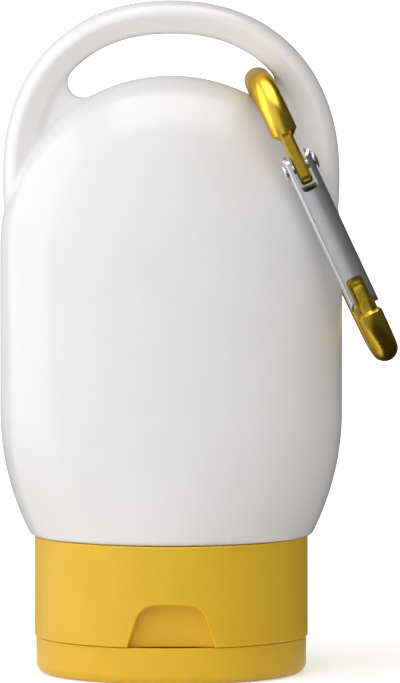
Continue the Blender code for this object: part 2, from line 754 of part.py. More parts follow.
def across_rod(radius, length, along, steps=SMALL_STEPS):
    """A cylinder square to the ring's plane, on the gate's line."""
    place = Matrix.Translation((0.0, -GATE_REACH, -along)) @ LYING_ON_X
    return rod_mesh(radius, length, place, steps)


def make_carabiner_frame():
    gold = plain_material("gold anodised rod", (0.80, 0.58, 0.10), 0.25, 1.0)
    path = ring_path()
    end_share = (TONGUE_THICKNESS / 2) / ROD_RADIUS
    shares = [end_share] + [1.0] * (len(path) - 2) + [end_share]
    places = [(0.0, y, -along) for y, along in path]
    frame = piece("carabiner_frame", wire_mesh(places, ROD_RADIUS, 3, shares), gold)
    half = TONGUE_HALF_HEIGHT
    hinge_outline = [(half, ROD_END - TONGUE_ROOT), (half, TONGUE_END - half)]
    hinge_outline += arc((0.0, TONGUE_END - half), half, 0, 180, 8)[1:-1]
    hinge_outline += [(-half, TONGUE_END - half), (-half, ROD_END - TONGUE_ROOT)]
    hinge_tongue = tool("hinge tongue", side_plate(hinge_outline, TONGUE_THICKNESS))
    nose_root = RING_LENGTH - HOOK_BEND + TONGUE_ROOT / 2
    nose_outline = [(half, nose_root), (-half, nose_root), (-half, NOSE_TIP + half)]
    nose_outline += arc((0.0, NOSE_TIP + half), half, 180, 360, 8)[1:-1]
    nose_outline.append((half, NOSE_TIP + half))
    nose = tool("hook nose", side_plate(nose_outline, TONGUE_THICKNESS))
    hole = tool("tongue hole", across_rod(RIVET_RADIUS + FIT_GAP, ROD_RADIUS * 2, RIVET_PLACE, 16))
    work(frame, hinge_tongue, "UNION")
    work(frame, nose, "UNION")
    work(frame, hole, "DIFFERENCE")
    return frame


def channel_mesh():
    """The gate's folded sheet as an open U-shaped surface, thickened to both sides of its middle."""
    middle = GATE_SHEET / 2
    wide = GATE_HALF_WIDTH - middle
    front = -GATE_REACH - GATE_WEB_RISE + middle
    back = -GATE_REACH + GATE_CHEEK_DROP
    bend = GATE_BEND - middle
    section = [(-wide, back)]
    section += arc((-wide + bend, front + bend), bend, 180, 270, 4)
    section += arc((wide - bend, front + bend), bend, 270, 360, 4)
    section.append((wide, back))
    top = -(RIVET_PLACE - GATE_EAR_RADIUS - CUT_OVERRUN)
    foot = -(GATE_TIP + CUT_OVERRUN)
    bm = bmesh.new()
    upper = [bm.verts.new((x, y, top)) for x, y in section]
    lower = [bm.verts.new((x, y, foot)) for x, y in section]
    for index in range(len(section) - 1):
        bm.faces.new((upper[index], lower[index], lower[index + 1], upper[index + 1]))
    mesh = bpy.data.meshes.new("channel")
    bm.to_mesh(mesh)
    bm.free()
    obj = tool("channel", mesh)
    thicken = obj.modifiers.new("thicken", "SOLIDIFY")
    thicken.thickness = GATE_SHEET
    thicken.offset = 0.0
    thicken.use_even_offset = True
    return baked(obj)


def gate_side_outline():
    """The gate from the side: round ears about the rivet, and a slanted lower tip."""
    front = -GATE_WEB_RISE - CUT_OVERRUN
    ear = GATE_EAR_RADIUS
    outline = arc((0.0, RIVET_PLACE), ear, 0, -180, 10)
    outline.append((front, RIVET_PLACE))
    outline.append((front, GATE_TIP - GATE_TIP_SLANT))
    outline.append((-GATE_WEB_RISE, GATE_TIP - GATE_TIP_SLANT))
    outline.append((-GATE_WEB_RISE + GATE_TIP_SLANT, GATE_TIP))
    outline.append((ear, GATE_TIP))
    return outline


def notch_mesh(start, end, round_end):
    """The opening in the gate's web at one end, with a rounded bottom, cut from the front."""
    half = GATE_HALF_WIDTH - GATE_SHEET - NOTCH_LEDGE
    sign = math.copysign(1.0, end - start)
    outline = [(half, start), (half, end - sign * round_end)]
    outline += arc((half - round_end, end - sign * round_end), round_end, 0, sign * 90, 3)[1:]
    outline += arc((-half + round_end, end - sign * round_end), round_end, sign * 90, sign * 180, 3)
    outline.append((-half, start))
    depth = GATE_WEB_RISE + CUT_OVERRUN
    place = Matrix(((1, 0, 0, 0), (0, 0, 1, -GATE_REACH - depth / 2), (0, -1, 0, 0), (0, 0, 0, 1)))
    return plate_mesh(outline, depth, place=place)


def make_carabiner_gate():
    bare = plain_material("bare aluminium gate", (0.72, 0.72, 0.71), 0.3, 1.0)
    gate = piece("carabiner_gate", channel_mesh(), bare)
    through = GATE_HALF_WIDTH * 2 + CUT_OVERRUN
    above = RIVET_PLACE - GATE_EAR_RADIUS - CUT_OVERRUN
    below = GATE_TIP + CUT_OVERRUN
    upper_notch = tool("upper notch", notch_mesh(above, GATE_WEB_TOP, GATE_SHEET))
    lower_notch = tool("lower notch", notch_mesh(below, GATE_WEB_FOOT, GATE_SHEET))
    holes = tool("ear holes", across_rod(RIVET_RADIUS + FIT_GAP, through, RIVET_PLACE, 16))
    work(gate, tool("gate side", side_plate(gate_side_outline(), through)), "INTERSECT")
    work(gate, upper_notch, "DIFFERENCE")
    work(gate, lower_notch, "DIFFERENCE")
    work(gate, holes, "DIFFERENCE")
    return gate


def make_gate_rivet():
    """A pin with a domed head at each end, turned about the gate's axis."""
    steel = plain_material("rivet aluminium", (0.62, 0.62, 0.60), 0.35, 1.0)
    seat = GATE_HALF_WIDTH + RIVET_GAP
    profile = [(0.0, seat + RIVET_HEAD_HEIGHT)]
    for step in range(1, 4):
        turn = math.pi / 2 * step / 4
        profile.append((RIVET_HEAD_RADIUS * math.sin(turn), seat + RIVET_HEAD_HEIGHT * math.cos(turn)))
    profile += [(RIVET_HEAD_RADIUS, seat), (RIVET_RADIUS, seat)]
    profile += [(radius, -height) for radius, height in reversed(profile)]
    mesh = turned_mesh(profile, 16, closed=False)
    mesh.transform(Matrix.Translation((0.0, -GATE_REACH, -RIVET_PLACE)) @ LYING_ON_X)
    return piece("gate_rivet", mesh, steel)


def make_gate_spring():
    """The wire that lies in the channel from behind the tongue's end to the web."""
    wire = plain_material("spring wire", (0.55, 0.55, 0.56), 0.3, 1.0)
    start = TONGUE_END + FIT_GAP + 2 * SPRING_WIRE
    web = -GATE_REACH - GATE_WEB_RISE + GATE_SHEET + FIT_GAP + SPRING_WIRE
    heel = -GATE_REACH + TONGUE_HALF_HEIGHT
    path = [
        (0.0, heel, -start),
        (0.0, (heel + web) / 2, -(start + SPRING_LENGTH / 5)),
        (0.0, web, -(start + SPRING_LENGTH / 2)),
        (0.0, web, -(start + SPRING_LENGTH)),
    ]
    return piece("gate_spring", wire_mesh(path, SPRING_WIRE, 1), wire)


# Joint axes: each moving piece hangs from an empty on its own axis

def axis_empty(name, place, turn=None, parent=None):
    empty = bpy.data.objects.new(name, None)
    empty.empty_display_type = "SINGLE_ARROW"
    empty.empty_display_size = CAP_RADIUS / 2
    empty.location = place
    if turn is not None:
        empty.rotation_euler = turn.to_euler()
    empty.parent = parent
    PIECES.objects.link(empty)
    return empty


def hang(obj, empty, place=(0.0, 0.0, 0.0)):
    """Parents obj to the empty, and moves its mesh so that its origin is the empty's place."""
    obj.data.transform(Matrix.Translation(-Vector(place)))
    obj.parent = empty
    for change in obj.modifiers:
        if change.type == "BOOLEAN":
            hang_tool(change.object, empty, place)


def hang_tool(helper, empty, place):
    helper.data.transform(Matrix.Translation(-Vector(place)))
    helper.parent = empty
    for change in helper.modifiers:
        hang_tool(change.object, empty, place)


def build():
    make_bottle_shell()
    closure_axis = axis_empty("closure_turn_axis", (0.0, 0.0, CAP_TOP))
    hang(make_neck_liner(), closure_axis, closure_axis.location)
    hang(make_closure_base(), closure_axis, closure_axis.location)
    for film in make_film_hinges():
        hang(film, closure_axis, closure_axis.location)
    lid_place = Vector((0.0, HINGE_PLACE, SEAM_HEIGHT))
    lid_axis = axis_empty("lid_hinge_axis", lid_place - closure_axis.location, parent=closure_axis)
    hang(make_flip_lid(), lid_axis, lid_place)
    swing_axis = axis_empty("carabiner_swing_axis", RING_PLACE, RING_TURN)
    hang(make_carabiner_frame(), swing_axis)
    hang(make_gate_rivet(), swing_axis)
    gate_place = Vector((0.0, -GATE_REACH, -RIVET_PLACE))
    gate_axis = axis_empty("gate_pivot_axis", gate_place, parent=swing_axis)
    hang(make_carabiner_gate(), gate_axis, gate_place)
    hang(make_gate_spring(), gate_axis, gate_place)


build()
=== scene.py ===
"""The looks of a sunscreen bottle that stands upside down on its flip-top cap, with a moulded handle
over its domed end and a small carabiner through the handle. Metres, +Z up, the camera on the -Y side."""

import json
import math

import bmesh
import bpy
import numpy as np
from mathutils import Matrix, Vector


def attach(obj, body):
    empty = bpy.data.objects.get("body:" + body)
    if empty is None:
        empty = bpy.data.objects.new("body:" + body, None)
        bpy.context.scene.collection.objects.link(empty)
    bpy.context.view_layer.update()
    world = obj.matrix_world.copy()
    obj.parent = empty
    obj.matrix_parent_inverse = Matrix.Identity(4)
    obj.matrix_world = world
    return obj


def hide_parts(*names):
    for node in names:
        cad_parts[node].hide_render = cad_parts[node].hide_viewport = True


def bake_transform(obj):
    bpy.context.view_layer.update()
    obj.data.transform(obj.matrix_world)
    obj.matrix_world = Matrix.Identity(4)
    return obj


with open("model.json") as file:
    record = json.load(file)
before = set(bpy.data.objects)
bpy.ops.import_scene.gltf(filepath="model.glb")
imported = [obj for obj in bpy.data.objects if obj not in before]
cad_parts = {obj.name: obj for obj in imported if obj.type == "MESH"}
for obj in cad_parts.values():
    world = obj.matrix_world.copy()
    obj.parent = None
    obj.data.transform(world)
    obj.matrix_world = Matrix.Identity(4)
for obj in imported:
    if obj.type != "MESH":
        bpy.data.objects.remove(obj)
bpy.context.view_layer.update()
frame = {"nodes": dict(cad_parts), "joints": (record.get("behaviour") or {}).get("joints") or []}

# Bottle shell
# One blow-moulded piece of white polyethylene: a body that sweeps from a round base to a wide waist
# and a dome, a handle arched over the dome, a thin web under each end of the slot, and the neck.

MM = 0.001

BODY_HALF_WIDTH = 25.4 * MM
BODY_HALF_DEPTH = 19.7 * MM
BODY_TAPER_SHARE = 0.2
BASE_HALF_WIDTH = 20.9 * MM
BASE_HEIGHT = 20.54 * MM
BASE_FILLET = 0.25 * MM
WAIST_HEIGHT = 39.0 * MM
DOME_HEIGHT = 63.4 * MM
DOME_TOP = DOME_HEIGHT + BODY_HALF_WIDTH
BODY_WALL = 1.1 * MM
ROUND_POWER = 2.0
SQUARE_POWER = 2.35
BODY_SIDES = 160
CAVITY_SIDES = 96
BASE_STEPS = 7
SWEEP_STEPS = 24
WALL_STEPS = 16
DOME_STEPS = 40


def half_width(height, inset=0.0):
    radius = BODY_HALF_WIDTH - inset
    if height > DOME_HEIGHT:
        return math.sqrt(max(radius**2 - (height - DOME_HEIGHT) ** 2, 0.0))
    if height > WAIST_HEIGHT:
        return radius
    rise = WAIST_HEIGHT - BASE_HEIGHT
    narrowing = BODY_HALF_WIDTH - BASE_HALF_WIDTH
    sweep = (rise**2 + narrowing**2) / (2 * narrowing)
    return radius - sweep + math.sqrt(sweep**2 - (WAIST_HEIGHT - height) ** 2)


def wedge_depth(height, inset=0.0):
    """The front and the back of the body lean together towards the dome."""
    share = (height - BASE_HEIGHT) / (DOME_HEIGHT - BASE_HEIGHT)
    return BODY_HALF_DEPTH * (1.0 - BODY_TAPER_SHARE * share) - inset


def half_depth(height, inset=0.0):
    if height <= DOME_HEIGHT:
        return wedge_depth(height, inset)
    radius = BODY_HALF_WIDTH - inset
    return wedge_depth(height, inset) * math.sqrt(max(1.0 - ((height - DOME_HEIGHT) / radius) ** 2, 0.0))


def smooth_share(value, low, high):
    share = min(max((value - low) / (high - low), 0.0), 1.0)
    return share * share * (3.0 - 2.0 * share)


def section_power(height):
    rising = smooth_share(height, BASE_HEIGHT, WAIST_HEIGHT)
    falling = smooth_share(height, (WAIST_HEIGHT + DOME_HEIGHT) / 2, DOME_TOP)
    return ROUND_POWER + (SQUARE_POWER - ROUND_POWER) * (rising - falling)


def shares(steps):
    """Even steps from 0 to 1."""
    return [step / steps for step in range(steps + 1)]


def body_ring(height, sides, inset=0.0, drawn_in=0.0):
    wide = half_width(height, inset) - drawn_in
    deep = half_depth(height, inset) - drawn_in
    power = 2.0 / section_power(height)
    ring = []
    for share in shares(sides)[:-1]:
        cos = math.cos(2 * math.pi * share)
        sin = math.sin(2 * math.pi * share)
        across = math.copysign(abs(cos) ** power, cos)
        away = math.copysign(abs(sin) ** power, sin)
        ring.append((wide * across, deep * away, height))
    return ring


def body_rings(sides, inset=0.0):
    """Rings up the base's rounded edge, the sweep to the waist, the wall and the dome."""
    foot = BASE_HEIGHT + inset
    rings = []
    for share in shares(BASE_STEPS)[:-1]:
        turn = math.pi / 2 * share
        height = foot + BASE_FILLET * (1.0 - math.cos(turn))
        rings.append(body_ring(height, sides, inset, BASE_FILLET * (1.0 - math.sin(turn))))
    low = foot + BASE_FILLET
    rise = DOME_HEIGHT - WAIST_HEIGHT
    radius = BODY_HALF_WIDTH - inset
    heights = [low + (WAIST_HEIGHT - low) * share for share in shares(SWEEP_STEPS)[:-1]]
    heights += [WAIST_HEIGHT + rise * share for share in shares(WALL_STEPS)[:-1]]
    heights += [DOME_HEIGHT + radius * math.sin(math.pi / 2 * share) for share in shares(DOME_STEPS)[:-1]]
    rings += [body_ring(height, sides, inset) for height in heights]
    rings.append([(0.0, 0.0, DOME_HEIGHT + radius)])
    return rings


def mesh_from(bm):
    mesh = bpy.data.meshes.new("shape")
    bm.to_mesh(mesh)
    bm.free()
    return mesh


def finished(bm):
    """The mesh of a closed form, with its faces turned outwards."""
    bmesh.ops.recalc_face_normals(bm, faces=bm.faces)
    if bm.calc_volume(signed=True) < 0.0:
        bmesh.ops.reverse_faces(bm, faces=bm.faces)
    return mesh_from(bm)


def skin(rings):
    """A closed form over a run of rings, with flat ends, or a pole where the last ring is one point."""
    bm = bmesh.new()
    rows = [[bm.verts.new(point) for point in ring] for ring in rings]
    for lower, upper in zip(rows, rows[1:]):
        for side in range(len(lower)):
            after = (side + 1) % len(lower)
            if len(upper) == 1:
                bm.faces.new((lower[side], lower[after], upper[0]))
            else:
                bm.faces.new((lower[side], lower[after], upper[after], upper[side]))
    for row in (rows[0], rows[-1]):
        if len(row) > 1:
            bm.faces.new(row)
    return finished(bm)


def shape(name, data):
    obj = bpy.data.objects.new(name, data)
    bpy.context.scene.collection.objects.link(obj)
    return obj


def settled(obj):
    """Applies what is still a modifier on obj."""
    bpy.context.view_layer.update()
    graph = bpy.context.evaluated_depsgraph_get()
    mesh = bpy.data.meshes.new_from_object(obj.evaluated_get(graph))
    obj.modifiers.clear()
    obj.data = mesh
    return obj


def work(obj, helper, operation, solver="EXACT"):
    """Cuts the helper from obj, or moulds it on, and takes the helper away."""
    change = obj.modifiers.new("work", "BOOLEAN")
    change.operation = operation
    change.object = helper
    change.solver = solver
    settled(obj)
    bpy.data.objects.remove(helper, do_unlink=True)


SLOT_HEIGHT = 6.2 * MM
HANDLE_BAR = 5.0 * MM
HANDLE_DEPTH = 7.0 * MM
HANDLE_RIDGE_INSET = 1.9 * MM
HANDLE_RIM_DEPTH = 3.4 * MM
HANDLE_RIM_ROUND = 0.9 * MM
HANDLE_SET_IN = 0.4 * MM
HANDLE_SPRING_RISE = 10.6 * MM
HANDLE_FOOT_DROP = 1.4 * MM
HANDLE_FOOT_LEAN = 2.6 * MM
HANDLE_POWER = 2.2
HANDLE_TOP = DOME_TOP + SLOT_HEIGHT + HANDLE_BAR
HANDLE_HEIGHT = DOME_HEIGHT + HANDLE_SPRING_RISE
HANDLE_HALF_WIDTH = BODY_HALF_WIDTH - HANDLE_SET_IN
HANDLE_RISE = HANDLE_TOP - HANDLE_HEIGHT
WEB_THICKNESS = 2.0 * MM
ARCH_STEPS = 150
LEG_STEPS = 24
HANDLE_CROWN_STEPS = 12
HANDLE_SLOPE_STEPS = 6


def handle_point(turn, inset):
    """A point on the arch, set in from its outer edge; turn 0 is the right-hand spring of the arch."""
    share = 2.0 / HANDLE_POWER
    cos = math.cos(turn)
    sin = math.sin(turn)
    x = HANDLE_HALF_WIDTH * math.copysign(abs(cos) ** share, cos)
    z = HANDLE_RISE * abs(sin) ** share
    normal_x = math.copysign(abs(cos) ** (2.0 - share), cos) / HANDLE_HALF_WIDTH
    normal_z = abs(sin) ** (2.0 - share) / HANDLE_RISE
    size = math.hypot(normal_x, normal_z)
    return x - inset * normal_x / size, HANDLE_HEIGHT + z - inset * normal_z / size


def leg_point(share, inset):
    """A point on the right-hand leg, which leans in as it sinks into the shoulder."""
    drop = HANDLE_SPRING_RISE + HANDLE_FOOT_DROP
    return HANDLE_HALF_WIDTH - inset - HANDLE_FOOT_LEAN * share**3, HANDLE_HEIGHT - drop * share


def handle_section():
    """The bar's section as (inset, depth) points: a crowned face, a ridge and a slope to the slot."""
    half = HANDLE_DEPTH / 2
    rim_inset = HANDLE_BAR - HANDLE_RIM_ROUND
    rim_half = HANDLE_RIM_DEPTH / 2 + HANDLE_RIM_ROUND / 2
    front = []
    for share in shares(HANDLE_CROWN_STEPS):
        turn = math.pi / 2 * share
        front.append((HANDLE_RIDGE_INSET * (1.0 - math.cos(turn)), half * math.sin(turn)))
    for share in shares(HANDLE_SLOPE_STEPS)[1:]:
        inset = HANDLE_RIDGE_INSET + (rim_inset - HANDLE_RIDGE_INSET) * share
        front.append((inset, half + (rim_half - half) * share))
    for share in shares(HANDLE_SLOPE_STEPS)[1:]:
        turn = math.pi / 2 * share
        front.append((rim_inset + HANDLE_RIM_ROUND * math.sin(turn), rim_half * math.cos(turn)))
    return front + [(inset, -depth) for inset, depth in reversed(front[1:-1])]


def handle_rings():
    """The bar's section carried up the right leg, over the arch and down the left leg."""
    section = handle_section()
    right = [[leg_point(share, inset) for inset, depth in section] for share in shares(LEG_STEPS)[:0:-1]]
    turns = [math.pi * share for share in shares(ARCH_STEPS)]
    arch = [[handle_point(turn, inset) for inset, depth in section] for turn in turns]
    left = [[(-x, z) for x, z in line] for line in reversed(right)]
    rings = []
    for line in right + arch + left:
        rings.append([(x, depth, z) for (x, z), (inset, depth) in zip(line, section)])
    return rings


joints = {joint["name"]: joint for joint in frame["joints"]}
RING_PLACE = Vector(joints["carabiner_swing"]["pos_m"])
ROD_RADIUS = 2.0 * MM
FIT_GAP = 0.3 * MM
SLOT_END_RADIUS = ROD_RADIUS + FIT_GAP
WEB_STEPS = 24
SLOT_END_STEPS = 12
END_SEARCH_STEPS = 400


def arc(centre, radius, start, end, steps):
    """Points on a circle, from one angle in degrees to another."""
    x, y = centre
    turns = [math.radians(start + (end - start) * share) for share in shares(steps)]
    return [(x + radius * math.cos(turn), y + radius * math.sin(turn)) for turn in turns]


def web_outline(side):
    """From the slot's rounded end down the shoulder, between the bar's middle and the dome's inside."""
    slot_end = (RING_PLACE.x, RING_PLACE.z)
    reach = HANDLE_BAR + SLOT_END_RADIUS
    turns = [math.pi / 2 * share for share in shares(END_SEARCH_STEPS)]
    end_turn = min(turns, key=lambda turn: math.dist(handle_point(turn, reach), slot_end))
    radius = BODY_HALF_WIDTH - BODY_WALL / 2
    low = math.degrees(math.acos((HANDLE_HALF_WIDTH - HANDLE_BAR / 2) / radius))
    high = math.degrees(math.atan2(RING_PLACE.z - DOME_HEIGHT, RING_PLACE.x))
    outer = [handle_point(end_turn * share, HANDLE_BAR / 2) for share in reversed(shares(WEB_STEPS))]
    inner = arc((0.0, DOME_HEIGHT), radius, low, high, WEB_STEPS)
    corners = (inner[-1], outer[0])
    start, end = [math.degrees(math.atan2(z - slot_end[1], x - slot_end[0])) for x, z in corners]
    bite = arc(slot_end, SLOT_END_RADIUS, start, end, SLOT_END_STEPS)
    return [(side * x, z) for x, z in outer + inner + bite]


def slab(outline, thickness):
    """A flat plate in the bottle's middle plane from its (x, z) outline."""
    return skin([[(x, y, z) for x, z in outline] for y in (-thickness / 2, thickness / 2)])


MOULD_VOXEL = 0.38 * MM
MOULD_SOFTENING = 7
CREASE_REACH = 1.6 * MM
CREASE_SOFTNESS = 0.5
SLOT_HEADROOM = 1.0 * MM
DRAW_ROUNDS = 3


def joined(meshes):
    bm = bmesh.new()
    for mesh in meshes:
        bm.from_mesh(mesh)
    return mesh_from(bm)


def draw_on_body(points):
    """Puts points that lie close to the body's surface exactly on it."""
    x, y, z = points.T
    placed = points.copy()
    for index in range(len(points)):
        height = min(max(z[index], BASE_HEIGHT), DOME_TOP)
        power = section_power(height)
        if height <= DOME_HEIGHT:
            reach = (abs(x[index]) / half_width(height)) ** power
            reach += (abs(y[index]) / half_depth(height)) ** power
            placed[index, :2] /= reach ** (1.0 / power)
            continue
        for _ in range(DRAW_ROUNDS):
            height = min(placed[index, 2], DOME_TOP)
            power = section_power(height)
            level = (abs(placed[index, 0]) / BODY_HALF_WIDTH) ** power
            level += (abs(placed[index, 1]) / wedge_depth(height)) ** power
            size = level ** (2.0 / power) + ((placed[index, 2] - DOME_HEIGHT) / BODY_HALF_WIDTH) ** 2
            placed[index, :2] /= math.sqrt(size)
            placed[index, 2] = DOME_HEIGHT + (placed[index, 2] - DOME_HEIGHT) / math.sqrt(size)
    return placed


def moulded_shell():
    """Body, handle and webs melted into one skin, with its plain parts on the body and soft creases."""
    parts = [skin(body_rings(BODY_SIDES)), skin(handle_rings())]
    parts += [slab(web_outline(side), WEB_THICKNESS) for side in (1, -1)]
    shell = shape("bottle", joined(parts))
    melt = shell.modifiers.new("melt", "REMESH")
    melt.mode = "VOXEL"
    melt.voxel_size = MOULD_VOXEL
    settled(shell)
    count = len(shell.data.vertices)
    points = np.zeros(count * 3)
    shell.data.vertices.foreach_get("co", points)
    points = points.reshape(-1, 3)
    beside = np.abs(points[:, 1]) > HANDLE_DEPTH / 2 + CREASE_REACH
    below = points[:, 2] < DOME_HEIGHT - HANDLE_FOOT_DROP - CREASE_REACH
    between_ends = np.abs(points[:, 0]) < RING_PLACE.x - CREASE_REACH
    inside_slot = between_ends & (points[:, 2] < DOME_TOP + SLOT_HEADROOM)
    on_side = points[:, 2] > BASE_HEIGHT + BASE_FILLET + MOULD_VOXEL
    plain = (beside | below | inside_slot) & on_side
    points[plain] = draw_on_body(points[plain])
    shell.data.vertices.foreach_set("co", points.ravel())
    crease = shell.vertex_groups.new(name="crease")
    crease.add(np.flatnonzero(~plain & (points[:, 2] > WAIST_HEIGHT)).tolist(), 1.0, "REPLACE")
    soften = shell.modifiers.new("soften", "SMOOTH")
    soften.factor = CREASE_SOFTNESS
    soften.iterations = MOULD_SOFTENING
    soften.vertex_group = "crease"
    return settled(shell)


WELD_DISTANCE = 0.001 * MM


def turned(profile, sides, closed=True):
    """A profile of (radius, height) points turned about the bottle's axis."""
    bm = bmesh.new()
    rows = []
    for share in shares(sides)[:-1]:
        turn = 2 * math.pi * share
        ring = [(radius * math.cos(turn), radius * math.sin(turn), height) for radius, height in profile]
        rows.append([bm.verts.new(point) for point in ring])
    count = len(profile)
    for row, following in zip(rows, rows[1:] + rows[:1]):
        for index in range(count if closed else count - 1):
            after = (index + 1) % count
            bm.faces.new((row[index], row[after], following[after], following[index]))
    bmesh.ops.remove_doubles(bm, verts=bm.verts, dist=WELD_DISTANCE)
    bmesh.ops.dissolve_degenerate(bm, edges=bm.edges, dist=WELD_DISTANCE)
    return finished(bm)


NECK_RADIUS = 11.1 * MM
NECK_WALL = 1.4 * MM
NECK_LAND = 8.3 * MM
NECK_LIP_ROUND = 0.3 * MM
NECK_BEAD_REACH = 1.8 * MM
NECK_BEAD_HEIGHT = 1.0 * MM
NECK_BEAD_DROP = 0.9 * MM
CUT_OVERRUN = 2.0 * MM
NECK_SIDES = 144
BORE_SIDES = 96
EDGE_STEPS = 4


def neck_profile():
    top = BASE_HEIGHT + BODY_WALL / 2
    bead_top = BASE_HEIGHT - NECK_BEAD_DROP
    bead_foot = bead_top - NECK_BEAD_HEIGHT
    bead_round = NECK_BEAD_HEIGHT / 3
    bead = NECK_RADIUS + NECK_BEAD_REACH - bead_round
    lip = (NECK_RADIUS - NECK_LIP_ROUND, NECK_LAND + NECK_LIP_ROUND)
    profile = [(0.0, top), (NECK_RADIUS, top), (NECK_RADIUS, bead_top)]
    profile += arc((bead, bead_top - bead_round), bead_round, 90, 0, EDGE_STEPS)
    profile += arc((bead, bead_foot + bead_round), bead_round, 0, -90, EDGE_STEPS)
    profile += [(NECK_RADIUS, bead_foot), (NECK_RADIUS, NECK_LAND + NECK_LIP_ROUND)]
    profile += arc(lip, NECK_LIP_ROUND, 0, -90, EDGE_STEPS)
    profile.append((0.0, NECK_LAND))
    return profile


THREAD_PITCH = 3.0 * MM
THREAD_TURNS = 1.5
THREAD_RISE = 0.8 * MM
THREAD_ROOT = 1.4 * MM
THREAD_CREST = 0.6 * MM
THREAD_SINK = 0.2 * MM
THREAD_RUN_OUT = 0.12
THREAD_STEPS_A_TURN = 72
NECK_THREAD_FOOT = 10.6 * MM


def thread_ridge(root_radius, outward, foot):
    """One right-handed thread start that rises out of its wall at both ends."""
    sunk = root_radius - outward * THREAD_SINK
    root = THREAD_ROOT / 2
    top = THREAD_CREST / 2
    rings = []
    for share in shares(int(THREAD_TURNS * THREAD_STEPS_A_TURN)):
        end = min(share, 1.0 - share) / THREAD_RUN_OUT
        full = math.sin(math.pi / 2 * min(end, 1.0))
        turn = 2 * math.pi * THREAD_TURNS * share
        height = foot + THREAD_PITCH * THREAD_TURNS * share
        crest = root_radius + outward * (THREAD_RISE * full - THREAD_SINK / 2 * (1.0 - full))
        section = ((sunk, root), (crest, top), (crest, -top), (sunk, -root))
        rings.append([(r * math.cos(turn), r * math.sin(turn), height + rise) for r, rise in section])
    return skin(rings)


def rod(radius, length, place, sides):
    bm = bmesh.new()
    size = {"radius1": radius, "radius2": radius, "depth": length}
    bmesh.ops.create_cone(bm, cap_ends=True, segments=sides, matrix=place, **size)
    return finished(bm)


def add_node(tree, kind, values=None, sources=None, **settings):
    """A new node with its settings, its inputs' values and the outputs that its inputs are fed from."""
    node = tree.nodes.new(f"ShaderNode{kind}")
    for name, value in settings.items():
        setattr(node, name, value)
    for name, value in (values or {}).items():
        node.inputs[name].default_value = value
    for name, source in (sources or {}).items():
        tree.links.new(source, node.inputs[name])
    return node


class Finish:
    """A material whose colour, roughness and bump are worked out by nodes over the piece's own space."""

    def __init__(self, name, values=None):
        self.material = bpy.data.materials.new(name)
        self.material.use_nodes = True
        self.tree = self.material.node_tree
        self.shader = self.tree.nodes["Principled BSDF"]
        for socket, value in (values or {}).items():
            self.shader.inputs[socket].default_value = value
        self.space = add_node(self.tree, "TexCoord").outputs["Object"]

    def grain(self, size, detail=2.0, stretch=(1.0, 1.0, 1.0), turn=(0.0, 0.0, 0.0)):
        """Noise whose blobs are about the given size across, drawn out along an axis if stretched."""
        lie = {"Rotation": turn, "Scale": stretch}
        place = add_node(self.tree, "Mapping", lie, {"Vector": self.space}, vector_type="TEXTURE")
        blobs = {"Scale": 1.0 / size, "Detail": detail}
        return add_node(self.tree, "TexNoise", blobs, {"Vector": place.outputs["Vector"]}).outputs["Fac"]

    def between(self, fac, low, high, start=0.0, end=1.0, easing="LINEAR"):
        """Spreads fac from start to end over the range from low to high, two numbers."""
        ends = {"From Min": start, "From Max": end, "To Min": low, "To Max": high}
        spread = add_node(self.tree, "MapRange", ends, {"Value": fac}, interpolation_type=easing)
        return spread.outputs["Result"]

    def colours(self, fac, low, high, start=0.3, end=0.7):
        ramp = add_node(self.tree, "ValToRGB", None, {"Fac": fac})
        for element, place, colour in zip(ramp.color_ramp.elements, (start, end), (low, high)):
            element.position = place
            element.color = (*colour, 1.0)
        return ramp.outputs["Color"]

    def product(self, one, other):
        return add_node(self.tree, "Math", None, {0: one, 1: other}, operation="MULTIPLY").outputs[0]

    def feed(self, name, socket):
        self.tree.links.new(socket, self.shader.inputs[name])

    def bump_from(self, fac, depth):
        bump = add_node(self.tree, "Bump", {"Distance": depth, "Strength": 1.0}, {"Height": fac})
        self.feed("Normal", bump.outputs["Normal"])


def white_polyethylene():
    """Faintly mottled white, satin, with the soft orange peel of a blow mould."""
    scatter = {"Subsurface Radius": (1.0, 0.97, 0.94), "Subsurface Scale": 3.0 * MM}
    white = Finish("white_hdpe", {"Roughness": 0.2, "Subsurface Weight": 0.35, **scatter})
    mottle = white.grain(9 * MM, 3.0)
    white.feed("Base Color", white.colours(mottle, (0.855, 0.845, 0.838), (0.880, 0.870, 0.863)))
    white.bump_from(white.grain(1.3 * MM), 0.004 * MM)
    return white.material


SHARP_DEGREES = 38


def painted(obj, material):
    obj.data.materials.clear()
    obj.data.materials.append(material)
    obj.data.shade_smooth()
    obj.data.set_sharp_from_angle(angle=math.radians(SHARP_DEGREES))


def dressed(obj, material, body):
    """Gives a finished piece its material, its shading and the body that it rides on."""
    obj.data.name = obj.name
    painted(obj, material)
    weighted = obj.modifiers.new("flat faces stay flat", "WEIGHTED_NORMAL")
    weighted.keep_sharp = True
    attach(obj, body)


bottle = moulded_shell()
work(bottle, shape("neck", turned(neck_profile(), NECK_SIDES, closed=False)), "UNION", "MANIFOLD")
work(bottle, shape("neck thread", thread_ridge(NECK_RADIUS, 1, NECK_THREAD_FOOT)), "UNION", "MANIFOLD")
work(bottle, shape("cavity", skin(body_rings(CAVITY_SIDES, BODY_WALL))), "DIFFERENCE", "MANIFOLD")
bore_foot = NECK_LAND - CUT_OVERRUN
bore_top = BASE_HEIGHT + BODY_WALL + CUT_OVERRUN
bore_place = Matrix.Translation((0.0, 0.0, (bore_foot + bore_top) / 2))
bore = rod(NECK_RADIUS - NECK_WALL, bore_top - bore_foot, bore_place, BORE_SIDES)
work(bottle, shape("bore", bore), "DIFFERENCE", "MANIFOLD")
dressed(bottle, white_polyethylene(), "bottle")
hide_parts("bottle_shell")

